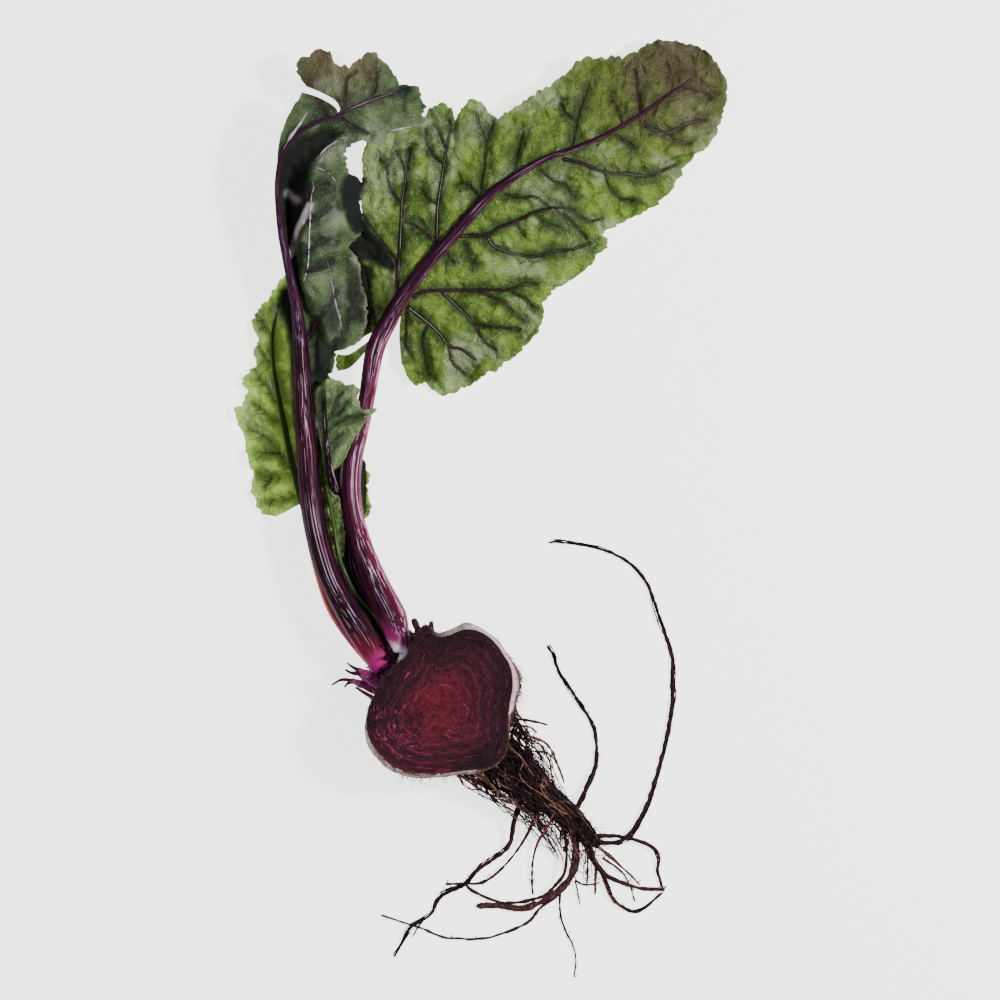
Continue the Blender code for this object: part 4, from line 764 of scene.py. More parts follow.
longLeaf = {
    **plainLeaf, "name": "long_leaf", "tears": [11], "first": 8,
    "stalk": [
        (-24, 13, 19), (-34.5, 29.5, 18.6), (-44.2, 46, 17), (-49.1, 60, 16), (-52.2, 74, 15.5),
        (-54, 88, 15), (-54.8, 100, 15), (-56.2, 120, 15), (-56.8, 132, 15.5), (-57.6, 144, 16),
        (-58.8, 156, 17), (-60.8, 166, 18.5), (-62.8, 176, 20), (-64.8, 186, 22), (-66, 196, 24),
        (-66.4, 204, 26), (-66, 210, 27), (-64.8, 216, 28), (-62, 220, 28), (-58.8, 224, 27.5),
        (-54, 228, 27), (-48, 230.8, 26), (-42, 232.4, 25), (-38, 234.8, 24), (-32, 237.6, 22),
        (-26, 240, 20), (-20, 242, 18), (-17.2, 242.8, 17),
    ],
    "radii": [
        4.9, 5.4, 4.5, 4.6, 4.6, 4.4, 4.3, 3.6, 3.3, 2.9, 2.2, 1.9, 1.7, 1.4, 1.1, 1.0, 0.9, 0.85, 0.8,
        0.75, 0.7, 0.65, 0.6, 0.55, 0.5, 0.45, 0.35, 0.25,
    ],
    "left": [
        (9.6, (-56.4, 152, 12), (-54.8, 151.4, 10), (-53.6, 150.8, 8)),
        (11.0, (-59.6, 166, 14.5), (-58.4, 166, 12), (-57, 166, 9.5)),
        (12.5, (-62.6, 181, 17), (-61.4, 181, 14.5), (-60, 181, 12)),
        (14.0, (-65.4, 196, 20.5), (-64.4, 196, 18), (-63, 196, 16)),
        (15.3, (-66.2, 206, 24), (-65.8, 206.4, 22), (-65, 207, 20)),
        (16.3, (-66.2, 212, 25.4), (-66.2, 213, 24.6), (-66, 214.4, 23.4)),
        (17.0, (-65.6, 217.6, 26.4), (-65.8, 219.4, 25.8), (-65.4, 222, 24.8)),
        (18.0, (-63.2, 222, 26.4), (-64, 224.6, 25.6), (-63.8, 228, 24.5)),
        (19.0, (-60.4, 226.6, 26), (-61.4, 230, 25), (-61.2, 234, 24)),
        (20.0, (-56, 230.8, 25.4), (-57.4, 234.8, 24.6), (-58, 239.2, 23)),
        (21.0, (-50.6, 233.6, 24.8), (-52.8, 237.2, 23.8), (-55.8, 241.2, 22)),
        (22.0, (-43.6, 236, 23.8), (-50, 239.8, 22.8), (-56.2, 241.8, 22)),
        (22.3, (-43, 238.2, 23.2), (-48.6, 241.6, 22), (-55.4, 244.6, 20)),
        (22.45, (-43.8, 240.6, 22.6), (-51, 247.2, 20.6), (-59.2, 252, 18)),
        (22.6, (-43.6, 242.2, 22.6), (-49.6, 250.6, 20), (-54.4, 257.2, 17)),
        (22.8, (-42.4, 242.4, 22.6), (-45, 250.6, 20), (-46.4, 258.8, 18)),
        (23.1, (-40.2, 241.6, 22.4), (-42, 247.6, 20.6), (-43.6, 253.2, 19)),
        (23.4, (-38, 242, 22), (-38.2, 247.4, 20.6), (-38, 252.4, 19)),
        (23.9, (-34.6, 243.8, 21), (-34.2, 250.4, 19.4), (-33.2, 256, 17)),
        (24.4, (-31.2, 245.4, 20), (-30.4, 252.2, 18.4), (-29.2, 258.4, 16)),
        (25.0, (-27.6, 245.8, 19), (-26.2, 250.6, 17.6), (-24.8, 254.8, 15.5)),
        (25.7, (-23.4, 245, 18), (-22, 247.6, 17), (-20.4, 250, 15.4)),
        (26.4, (-19.6, 243.8, 16.8), (-18.8, 244.6, 16.4), (-17.8, 245.6, 16)),
    ],
    "right": [
        (7.2, (-53.6, 123, 10), (-52, 122.2, 9.8), (-50.4, 121.2, 9.4)),
        (7.6, (-53, 127, 10.4), (-50, 126.6, 10.4), (-46, 125.4, 10)),
        (8.0, (-52.8, 130.4, 11), (-49.6, 130.2, 11.4), (-45.6, 129.6, 11)),
        (8.3, (-53, 133.6, 11.6), (-49.2, 134, 12.6), (-44.4, 133.4, 12)),
        (8.8, (-53.2, 139, 12), (-49, 139.6, 14), (-43.4, 138.8, 13)),
        (9.3, (-54, 145, 12.5), (-48, 145.6, 15.5), (-37.6, 141.4, 11.5)),
        (9.8, (-54.8, 152, 12.5), (-47.6, 152.8, 17), (-32.4, 146, 10.5)),
        (10.4, (-56.4, 159, 12.5), (-51.2, 160, 18.5), (-31.2, 156.4, 10)),
        (11.1, (-58.4, 167.4, 13), (-54.6, 168.8, 20.5), (-32.8, 165.6, 10.5)),
        (12.0, (-59.8, 176, 14), (-54.2, 177.2, 22), (-34.4, 175.2, 12)),
        (12.8, (-61, 184, 15.5), (-53.6, 184.8, 23.5), (-38, 180.6, 14)),
        (13.4, (-61.8, 191.2, 17), (-53.2, 191.2, 25), (-33.6, 186.6, 14)),
        (14.1, (-62.2, 197.6, 18.5), (-52.8, 197.6, 26.5), (-34, 191.6, 15)),
        (14.9, (-62.6, 204, 20), (-52.4, 203.6, 27.5), (-33.6, 198.6, 15.5)),
        (15.7, (-61.8, 209.2, 21.5), (-51.6, 208, 27.6), (-33, 205.6, 16.5)),
        (16.3, (-60.4, 212.8, 22.5), (-50.6, 211.4, 26.6), (-37.4, 209.8, 19)),
        (17.1, (-58, 215.6, 22.5), (-49.6, 215.4, 24), (-38.8, 213, 20)),
        (18.1, (-55.2, 219.2, 22.5), (-47.2, 219.2, 22.5), (-39.2, 217.4, 21)),
        (19.3, (-51.6, 222.8, 22.5), (-44.4, 222.8, 22), (-37.6, 220.8, 22)),
        (20.4, (-47.2, 225.6, 22), (-40.8, 225.2, 21.5), (-33.2, 223, 19)),
        (21.3, (-42, 227.6, 21.5), (-35.6, 225.6, 20), (-26, 221.2, 16)),
        (22.3, (-36.8, 229.6, 21), (-30.4, 227.6, 19.5), (-22, 225.4, 16.5)),
        (23.3, (-31.6, 232.4, 20), (-24.8, 230.4, 18.5), (-16, 227.6, 15)),
        (24.4, (-26.4, 235.2, 18.5), (-19.6, 232.8, 17.5), (-9.2, 229.8, 15.5)),
        (25.4, (-21.6, 237.2, 17.5), (-16.4, 236, 16.5), (-8.8, 234, 15)),
        (26.3, (-17.8, 239.8, 16.5), (-14, 239, 16), (-8.8, 238.4, 15.5)),
    ],
    "tip": [(-15.2, 243.3, 15.8), (-13.2, 244, 15.8), (-10.8, 244.8, 15.5)],
    "veins": [
        (0.4, [(-40, 233.6), (-40, 238), (-39.6, 244), (-38.8, 248), (-35.6, 250.4)]),
        (0.35, [(-42, 232), (-38.8, 229.6), (-34.8, 227.2), (-30.8, 225.6)]),
        (0.3, [(-47, 231.6), (-50, 238), (-54, 246)]), (0.3, [(-30, 238.4), (-28, 244), (-27.6, 250)]),
        (0.6, [(-56, 126.4), (-50.8, 132), (-47.6, 135.2), (-44.8, 140), (-43.2, 144), (-40, 148),
            (-38.4, 152.8), (-37.2, 158), (-37.6, 164), (-38, 170), (-38.8, 175.2)]),
        (0.3, [(-38.2, 152.8), (-34.8, 153.6)]), (0.3, [(-37, 157.4), (-33.2, 161.2)]),
        (0.5, [(-56, 142), (-50.8, 151.2), (-48, 154.8), (-44.8, 158.8), (-42.8, 164)]),
        (0.35, [(-55, 178.6), (-49.2, 182.8), (-45.2, 184)]),
        (0.35, [(-55, 171), (-49.2, 172.4), (-44.8, 175.2)]),
        (0.35, [(-55, 190), (-48.6, 193.6), (-44.4, 196.8)]),
        (0.35, [(-55, 200), (-50, 203.4), (-46.4, 205)]),
    ],
    "columns": 34, "rows": 8, "pucker": 1.0, "crinkle": 0.3, "wave": 0.5, "scallop": 0.7, "curl": 0.7,
    "thickness": 0.4, "fineGap": 4.6, "fineReach": 7,
    "stalkStep": 0.9, "sides": 54, "groove": 2.0, "grooveDepth": 0.1, "ridges": 0.06,
    "hollows": [
        (1.0, 3, [(-65, 216), (-52.2, 226.2), (-41, 226.2), (-46.2, 221), (-53.2, 212.8), (-53.4, 196.4),
                  (-61.4, 179.2), (-64, 188.4), (-65.4, 202.8)]),
        (1.0, 2, [(-41.8, 204), (-39, 209), (-32, 209), (-33, 198), (-31, 188), (-36, 186), (-39.6, 192),
                  (-41.4, 199)]),
        (0.8, 4, [(-38, 172.6), (-35, 173), (-33, 166), (-33, 152), (-36, 150), (-37.4, 160)]),
        (0.7, 5, [(-46, 158), (-43, 158), (-42, 148), (-45, 146), (-48, 150)]),
        (0.8, 4, [(-53, 150), (-49, 150), (-45, 133), (-50, 124), (-53, 126)]),
    ],
    "folds": [
        (0.8, 1.3, [(-54, 235.2), (-56.8, 230), (-59.6, 226), (-63.2, 220), (-65.2, 216)]),
        (1.0, 0.55, [(-53.6, 212.8), (-52, 204), (-52.8, 200), (-53.6, 186), (-54.4, 172.8), (-56.8, 164),
                     (-57.4, 156)]),
        (0.9, 1.5, [(-53.4, 197), (-56.4, 191), (-59.2, 185), (-61.4, 177)]),
        (0.7, 0.5, [(-64.4, 190), (-61.6, 172.8), (-58.4, 163.2), (-57.6, 158)]),
        (0.2, 4.5, [(-50.6, 212), (-47, 216), (-43.6, 219), (-39, 222.4)]),
        (0.6, 0.7, [(-52.8, 212.8), (-49, 217.6), (-45.6, 220.8), (-40, 224), (-36, 224.4)]),
        (0.85, 0.7, [(-22.8, 226.6), (-16, 228), (-12, 228.8), (-8.8, 230)]),
        (0.7, 0.7, [(-32, 221.6), (-27, 222), (-22.8, 223)]),
        (0.7, 0.6, [(-53.6, 212.8), (-46, 209.6), (-41.6, 204)]),
        (0.35, 2.4, [(-62.4, 202), (-58.6, 199)]),
        (0.4, 1.0, [(-46.6, 175), (-45, 167), (-43.4, 158), (-41.4, 150), (-42.4, 143)]),
    ],
    "slot": "leaf_dark_green", "stalkSlot": "purple_stalk",
    "look": {
        **plainLook, "deep": tone(44, 58, 38), "fresh": tone(98, 120, 76), "gold": tone(120, 138, 80),
        "goldShare": 0.3,
        "pale": tone(186, 198, 184), "sheen": tone(158, 172, 138), "sheenShare": 0.75, "shade": tone(20, 26, 18),
        "edge": tone(140, 140, 116), "valleyShade": 0.7, "halo": 1.6, "gloss": 0.5, "pillow": 8.5,
        "relief": 1.6, "fold": tone(222, 206, 214),
        "bronze": tone(100, 78, 56), "bronzeFrom": (-44, 262), "bronzeReach": 34, "bronzeShare": 0.9,
        "glow": tone(110, 150, 60), "through": 0.1,
        "vein": tone(76, 24, 60), "veinDark": tone(32, 12, 26), "fineVein": tone(32, 38, 26),
    },
    # right flank painted near black as shade
    "stalkLook": {**purpleStalk, "right": tone(20, 7, 16), "rightShare": 0.95, "bright": tone(120, 28, 58),
                  "litAt": -0.05, "litWide": 0.7, "neck": 14, "neckTone": tone(112, 20, 46), "foot": 7,
                  "footTone": tone(168, 36, 116), "bladeFrom": 138, "bladeTone": tone(56, 20, 52),
                  "bladeShare": 0.6},
}
addLeaf(longLeaf)

sideLeaf = {
    **plainLeaf, "name": "side_leaf", "first": 5,
    "stalk": [
        (-26, 12, 8.8), (-36, 24, 8.6), (-43.8, 35.2, 8.3), (-48.4, 46, 8), (-52.4, 60, 7.5),
        (-55.2, 74, 7), (-58, 84, 7), (-61.2, 96, 7), (-64, 110, 7), (-66.4, 122, 7), (-68.4, 134, 7),
        (-68.8, 146, 6.5), (-66.4, 158, 6),
    ],
    "radii": [2.4, 2.6, 2.5, 2.2, 1.9, 1.7, 1.5, 1.3, 1.1, 0.9, 0.7, 0.5, 0.3],
    "left": [
        (5.5, (-61.2, 76.6, 4.5), (-67.6, 73.4, 2.5)), (5.8, (-64.4, 80, 4), (-72.8, 75.2, 2)),
        (6.1, (-66, 84, 4), (-76.4, 82, 2.5)), (6.5, (-68, 89.2, 4.5), (-77.2, 90.4, 1)),
        (6.9, (-70, 95.2, 5), (-78.4, 95.6, 2.5)), (7.3, (-71.6, 102.8, 5), (-80.4, 105.2, -0.4)),
        (7.7, (-72.8, 110, 5.5), (-83.6, 114.8, 2)), (8.1, (-73.2, 116, 5.5), (-80.8, 118.4, 3.5)),
        (8.5, (-72.8, 121.2, 5.5), (-78.8, 123.6, 1.5)), (8.9, (-73.2, 127.2, 5.5), (-80.8, 128, 2.5)),
        (9.4, (-72, 132.8, 5.5), (-75.2, 134, 3.5)), (9.9, (-71.6, 139.2, 5), (-76.4, 140, 2)),
        (10.4, (-71.2, 143.2, 4.8), (-74, 144.4, 3.5)), (10.9, (-72, 148.8, 4.5), (-77.2, 150, 2)),
        (11.3, (-70.6, 153.4, 4.5), (-75.2, 155.6, 2.5)), (11.7, (-68, 157.6, 4.5), (-70, 160.4, 3)),
        (11.9, (-66.6, 160.6, 4.3), (-67.6, 165.2, 3.4)),
    ],
    "right": [
        (5.5, (-57, 78.4, 4), (-55.6, 79.6, 4)), (6.5, (-57, 90, 4.4), (-54.6, 91.2, 5)),
        (7.5, (-59.6, 103.2, 4.4), (-56, 104.8, 5.2)), (8.5, (-62.2, 116.4, 4.4), (-57.8, 117.8, 5.2)),
        (9.5, (-64.4, 128.6, 4.4), (-59.4, 130.2, 5.2)), (10.5, (-65.8, 140.8, 4.4), (-58.6, 143.2, 5)),
        (11.2, (-65.4, 149.4, 4.3), (-58.4, 153, 4.5)), (11.7, (-64.6, 156.2, 4.2), (-59.8, 163.4, 4)),
    ],
    "tip": [(-64.6, 163.6, 4), (-63.2, 171, 3.6)],
    "veins": [
        (0.4, [(-57, 81.6), (-64, 80.8), (-72, 78.8)]),
        (0.4, [(-58, 91.2), (-64, 89.2), (-68.8, 88.8), (-73.2, 90)]),
        (0.25, [(-68.8, 88.8), (-72.4, 84.8)]),
        (0.45, [(-59.4, 90), (-65.2, 98), (-68, 102), (-73.2, 106), (-78.8, 109.2)]),
        (0.3, [(-65.4, 98.4), (-70.8, 98.8), (-75.6, 98.8)]),
        (0.4, [(-63.6, 110.4), (-70, 113.2), (-73.2, 116), (-77.2, 119.2)]),
        (0.4, [(-65, 115), (-70, 124), (-74, 128), (-76, 132)]),
        (0.35, [(-68, 132), (-71.6, 137.6), (-74.4, 141)]),
        (0.3, [(-68.6, 146), (-72.4, 150), (-74.8, 154)]),
    ],
    "columns": 26, "rows": 9, "pucker": 1.5, "crinkle": 0.5, "wave": 0.4, "scallop": 0.7, "curl": 0.9,
    "thickness": 0.4, "fineGap": 3.8, "fineReach": 6,
    "stalkStep": 1.0, "sides": 32, "grooveDepth": 0.12, "ridges": 0.05,
    "hollows": [
        (1.0, 4, [(-66, 164), (-58, 160), (-56, 112), (-55, 92), (-59, 100), (-61.4, 118), (-62, 140),
                  (-64.6, 152)]),
    ],
    "folds": [
        (0.8, 0.7, [(-77.2, 153.4), (-73.2, 152.4), (-70.8, 150.4), (-68, 144.8)]),
        (0.7, 0.7, [(-70.8, 151.2), (-67.2, 148), (-63.2, 139.2)]),
        (0.45, 2.2, [(-69, 158.6), (-67, 154), (-65.4, 149)]),
        (0.6, 1.2, [(-70.2, 130.4), (-69.4, 126), (-68.4, 121)]),
    ],
    "slot": "leaf_green", "stalkSlot": "red_stalk",
    "look": {
        **plainLook, "deep": tone(104, 144, 54), "fresh": tone(206, 240, 128),
        "gold": tone(232, 250, 140), "goldShare": 0.4,
        "pale": tone(246, 250, 224), "sheen": tone(220, 238, 172), "sheenShare": 1.0, "shade": tone(24, 36, 12),
        "edge": tone(150, 176, 80), "valleyShade": 0.75, "halo": 1.3, "gloss": 0.6, "pillow": 4.6,
        "relief": 2.6, "fold": tone(216, 226, 206),
        "glow": tone(198, 220, 146), "through": 0.5,
        "vein": tone(40, 38, 24), "veinDark": tone(20, 22, 14), "fineVein": tone(44, 58, 24),
    },
    "stalkLook": {**purpleStalk, "mid": tone(150, 30, 46), "bright": tone(220, 110, 110),
                  "dark": tone(92, 18, 30), "left": tone(214, 100, 92), "neck": 22,
                  "bladeFrom": 54, "bladeTone": tone(40, 54, 20)},
}
addLeaf(sideLeaf)

smallLeaf = {
    **plainLeaf, "name": "small_leaf", "first": 5,
    "stalk": [
        (-24.5, 21.6, 13), (-30.9, 35, 10.9), (-38.2, 50, 9.9), (-41.4, 66, 8.8), (-43.2, 80, 10.6),
        (-45.6, 92, 18), (-47.2, 104, 18), (-48, 116, 18), (-48, 123.2, 17.5),
    ],
    "radii": [1.4, 3.2, 4.0, 3.6, 2.4, 1.5, 0.9, 0.6, 0.3],
    "left": [
        (4.75, (-47.4, 89.8, 14), (-51, 92.6, 9.4)), (5.3, (-48.4, 96.6, 15), (-52, 97, 9.6)),
        (6.0, (-49, 103.6, 15.6), (-52.4, 103.2, 10)), (6.6, (-49.6, 110, 16), (-52, 110, 11)),
        (7.1, (-49.8, 116.6, 16.6), (-53.4, 117, 11)), (7.7, (-49.4, 121.4, 16.6), (-53, 122.4, 11.6)),
    ],
    "right": [
        (4.9, (-43.4, 92.2, 16.6), (-42, 93.4, 16.8)), (5.2, (-41.6, 97.2, 16.8), (-38.4, 99.2, 17.4)),
        (5.6, (-41.2, 102.4, 17), (-35.6, 105.2, 17.6)), (6.0, (-40, 108, 17.4), (-31.2, 112, 18.2)),
        (6.4, (-38, 112.4, 18), (-26.8, 116.4, 18.8)), (6.7, (-39.6, 115.6, 17.8), (-33, 115.8, 19)),
        (7.0, (-40.4, 119.2, 17.6), (-34.4, 120.8, 18)), (7.3, (-41.2, 121.8, 17.2), (-35.2, 125.4, 16.6)),
        (7.6, (-42.8, 123.8, 16.8), (-39.6, 125.8, 16)), (7.85, (-44.8, 125, 16.4), (-43.4, 128, 15.6)),
    ],
    "tip": [(-47.6, 125.4, 16.2), (-46.8, 128, 15.4)],
    "veins": [
        (0.35, [(-47.6, 111.2), (-44.8, 114), (-42, 114.8), (-39.2, 118.8)]),
        (0.3, [(-44.6, 114.2), (-43.2, 120), (-40.8, 122.8)]),
        (0.35, [(-47.2, 107), (-43.2, 110.4), (-38, 112.8), (-33, 113.6)]),
        (0.3, [(-46.4, 101.6), (-43.2, 104.8), (-40.8, 106.4)]),
    ],
    "columns": 24, "rows": 9, "pucker": 0.8, "crinkle": 0.3, "wave": 0.2, "scallop": 0.5, "curl": 0.5,
    "thickness": 0.35, "fineGap": 3.4, "fineReach": 5,
    "stalkStep": 1.0, "sides": 24, "grooveDepth": 0.12, "ridges": 0.05,
    "folds": [
        (0.7, 0.6, [(-47.4, 94), (-49.4, 104), (-50.4, 114)]),
        (0.6, 0.8, [(-42.6, 97), (-41, 101), (-38.6, 103)]),
        (0.5, 0.6, [(-33, 112.6), (-30, 113.6), (-27.6, 115.6)]),
    ],
    "slot": "leaf_dark_green", "stalkSlot": "purple_stalk",
    "look": {
        **plainLook, "deep": tone(76, 100, 60), "fresh": tone(154, 182, 120),
        "gold": tone(184, 206, 128), "goldShare": 0.4,
        "pale": tone(206, 218, 198), "sheen": tone(170, 184, 150), "sheenShare": 0.6, "shade": tone(24, 32, 20),
        "edge": tone(150, 170, 120),
        "valleyShade": 0.7, "halo": 1.3, "gloss": 0.5, "pillow": 6, "relief": 1.5, "fold": tone(214, 222, 206),
        "glow": tone(130, 170, 60), "through": 0.12,
        "vein": tone(74, 30, 46), "veinDark": tone(40, 16, 28), "fineVein": tone(44, 52, 32),
    },
    "stalkLook": {**purpleStalk, "mid": tone(34, 12, 26), "dark": tone(16, 7, 13), "bright": tone(70, 28, 52),
                  "right": tone(30, 10, 22), "neck": 40, "neckTone": tone(20, 8, 15)},
}
addLeaf(smallLeaf)

youngLeaf = {
    **plainLeaf, "name": "young_leaf", "first": 3,
    "stalk": [
        (-22.8, 23.5, 16), (-29.4, 33.8, 16), (-35.4, 42.2, 16), (-40.8, 53.6, 15.6), (-42.8, 62, 15.6),
        (-44.4, 72, 15.6), (-46.2, 81.2, 15.4), (-47.6, 87, 14.4),
    ],
    "radii": [1.2, 1.2, 1.1, 0.8, 0.5, 0.45, 0.35, 0.25],
    "left": [
        (3.1, (-42.8, 56.8, 14.4), (-44.6, 57.6, 10.5)), (3.6, (-44.4, 60, 14.4), (-46.4, 61.6, 9.5)),
        (4.1, (-45, 64.8, 14.6), (-48.4, 67.6, 9.2)), (4.6, (-46, 70, 14.6), (-49.6, 72.4, 9)),
        (5.1, (-46.6, 75.2, 14.8), (-50, 76.4, 9)), (5.6, (-47.2, 80, 14.2), (-50.8, 82, 9)),
        (6.1, (-48, 84.8, 13.8), (-51.4, 86.8, 9.4)), (6.5, (-48.7, 87.6, 13.4), (-50.8, 90.4, 10.4)),
    ],
    "right": [
        (3.1, (-41.2, 56.2, 14.4), (-40.4, 57.6, 14.8)), (3.7, (-41.2, 60, 14.4), (-39.8, 62, 15.2)),
        (4.3, (-41.6, 66, 14.6), (-40.1, 69.2, 15.4)), (4.8, (-42.6, 71.6, 15), (-41, 73.2, 14.4)),
        (5.2, (-43, 75.2, 15.3), (-41.6, 76.8, 15.8)), (5.6, (-43.8, 78.8, 15.2), (-42.1, 80.8, 15.4)),
        (6.0, (-45.2, 81.8, 15.2), (-44.8, 82.8, 15.6)), (6.5, (-46.7, 86.6, 14.6), (-46.5, 88.2, 14.4)),
    ],
    "tip": [(-48.1, 91, 13.6), (-48, 93, 13.4)],
    "veins": [
        (0.2, [(-42.4, 62), (-44.6, 65)]), (0.2, [(-44, 70), (-46.4, 72.4)]),
        (0.2, [(-44.8, 76), (-47.2, 80)]), (0.2, [(-43.2, 66), (-41, 69)]), (0.2, [(-45, 78), (-42.6, 80)]),
    ],
    "columns": 18, "rows": 9, "pucker": 0.7, "crinkle": 0.5, "wave": 0.3, "scallop": 0.5, "curl": 0.6,
    "thickness": 0.35, "fineGap": 3, "fineReach": 4,
    "stalkStep": 1.0, "sides": 20, "grooveDepth": 0.1, "ridges": 0.04,
    "slot": "leaf_light_green", "stalkSlot": "green_stalk",
    "look": {
        **plainLook, "deep": tone(104, 132, 68), "fresh": tone(196, 222, 132),
        "gold": tone(222, 240, 150), "goldShare": 0.5,
        "pale": tone(222, 232, 200), "sheen": tone(196, 210, 160), "sheenShare": 0.8, "shade": tone(26, 38, 16),
        "edge": tone(176, 192, 130),
        "valleyShade": 0.8, "halo": 1.0, "gloss": 0.6, "pillow": 3, "relief": 1.8, "fold": tone(226, 234, 210),
        "glow": tone(176, 200, 104), "through": 0.32,
        "vein": tone(84, 100, 50), "veinDark": tone(50, 64, 30), "fineVein": tone(60, 80, 34),
    },
    "stalkLook": {**purpleStalk, "dark": tone(70, 92, 30), "mid": tone(120, 144, 62),
                  "bright": tone(170, 190, 100), "right": tone(60, 80, 30), "left": tone(90, 110, 44),
                  "neck": 37, "neckTone": tone(24, 16, 16), "footTone": tone(40, 20, 24),
                  "bladeFrom": 40, "bladeTone": tone(76, 98, 46)},
}
addLeaf(youngLeaf)

backLeaf = {
    **plainLeaf, "name": "back_leaf", "first": 4,
    "stalk": [
        (-18, 20, 9), (-22.8, 34, 8.5), (-29.2, 50, 8), (-33.6, 62, 7), (-35.2, 72, 6), (-35.2, 80, 6),
        (-34.8, 88, 6), (-34.4, 94, 5.5),
    ],
    "radii": [1.6, 1.5, 1.4, 1.2, 1.0, 0.8, 0.5, 0.3],
    "left": [
        (3.8, (-37.4, 72, 4), (-39.2, 73.6, 3.5)), (5.0, (-38.2, 80.8, 4), (-43.4, 82.4, 3.5)),
        (6.0, (-37.6, 88.8, 4), (-45, 90.4, 3.5)), (6.6, (-36.4, 92.8, 3.8), (-42.6, 95.4, 3.5)),
    ],
    "right": [
        (3.8, (-33.4, 71.2, 4), (-31.6, 72.8, 3.5)), (4.4, (-32.4, 76.8, 4), (-29.6, 76, 3)),
        (5.0, (-32.8, 82, 4), (-30.4, 82.8, 3.5)), (5.6, (-32.6, 86, 4.2), (-31.2, 85.6, 4)),
        (6.2, (-32.4, 89, 4), (-29.6, 88.4, 3)), (6.7, (-32.8, 91.8, 3.8), (-31.2, 92.2, 3.2)),
    ],
    "tip": [(-33.6, 95.4, 3.8), (-33, 97, 3.5)],
    "veins": [(0.2, [(-35, 74), (-32, 77.6)]), (0.2, [(-35, 80), (-39.4, 82.6)])],
    "columns": 14, "rows": 8, "pucker": 0.4, "crinkle": 0.3, "wave": 0.2, "scallop": 0.5, "curl": 0.3,
    "thickness": 0.35, "fineGap": 3, "fineReach": 4,
    "stalkStep": 1.0, "sides": 20, "grooveDepth": 0.1, "ridges": 0.04,
    # the whole back leaf is painted dark as shade under the leaves above it
    "hollows": [(0.9, 1.5, [(-48, 70), (-33.4, 70), (-32.8, 98), (-48, 98)])],
    "slot": "leaf_green", "stalkSlot": "purple_stalk",
    "look": {**sideLeaf["look"], "fresh": tone(126, 160, 50)},
    "stalkLook": purpleStalk,
}
addLeaf(backLeaf)

print("bulb")
bulbForm = {
    "widest": [
        (0, 28), (8, 31.6), (13.2, 30.4), (18, 27.6), (22, 24), (25.2, 19.2), (27.8, 15.2),
        (30, 11.2), (30.4, 6), (29.2, 2), (28.4, -2), (27, -6), (26.4, -11.2), (25.8, -16.8),
        (24.4, -21.6), (20.8, -25.8), (14, -28.4), (6, -29.4), (-2, -30.4), (-12, -30.6),
        (-18, -29), (-22.8, -26.8), (-26.8, -23.2), (-30, -19.2), (-31.8, -14.4), (-32, -9.6),
        (-31.2, -4.4), (-29.6, 0), (-27.2, 4.8), (-24.8, 10), (-20.4, 14.6), (-15.6, 18.4),
        (-12.8, 24), (-10.6, 29), (-6.8, 31), (-3.6, 28),
    ],
    "cutEdge": [
        (0.8, 25.4), (8, 28), (13.2, 28), (17.2, 26.2), (20.4, 23.2), (23.6, 18.8), (26, 14.4),
        (26.8, 9.6), (26.6, 5), (25.8, 1), (25, -3), (24.8, -6.6), (25.2, -11.2), (25.2, -16.2),
        (24, -20.6), (20.4, -24.4), (14, -26.4), (6, -27.2), (-2, -28), (-11.6, -28),
        (-17.4, -26.6), (-22, -23.8), (-25.6, -20), (-28.6, -16), (-30.6, -11), (-31, -7),
        (-30.2, -3), (-28.8, 0.4), (-26, 4.6), (-23.8, 9.4), (-19.8, 13.6), (-15, 17.2),
        (-12, 22.6), (-9.8, 27.6), (-6.8, 29.2), (-3.4, 25.4),
    ],
    # share of the widest outline, height
    "rings": [(0.45, 1.7), (0.63, 4.4), (0.79, 8.6), (0.91, 13.6), (0.975, 19), (1, 24), (0.992, 28)],
    "sides": 288, "rows": 84, "faceRows": 96, "cutHeight": 31.0, "widestHeight": 24.0,
    "restRadius": 8.0, "roundRadius": 29.0, "centre": (-1.2, -2.0), "wrinkle": 0.3, "fleckLift": 0.18,
    # bearings in degrees, then the value at each
    "rimShare": ([0, 20, 60, 95, 110, 165, 190, 230, 300, 330, 360],
                 [0.3, 0.2, 0.3, 0.5, 0.9, 0.9, 0.5, 0.3, 0.35, 0.5, 0.3]),
    "sunny": ([0, 45, 80, 300, 330, 360], [1, 1, 0, 0, 0.6, 1]),
    "leafy": ([85, 100, 185, 200], [0, 1, 1, 0]),
    "paleFrom": ([0, 25, 50, 290, 300, 345, 352], [28.4, 28.4, 20, 20, 33, 33, 28.4]),
}
outline = closedCurve(bulbForm["widest"], bulbForm["sides"]) * 0.985
brim = closedCurve(bulbForm["cutEdge"], bulbForm["sides"])
brim += (outline - brim) * np.interp(bearings(brim), *bulbForm["rimShare"])[:, None]


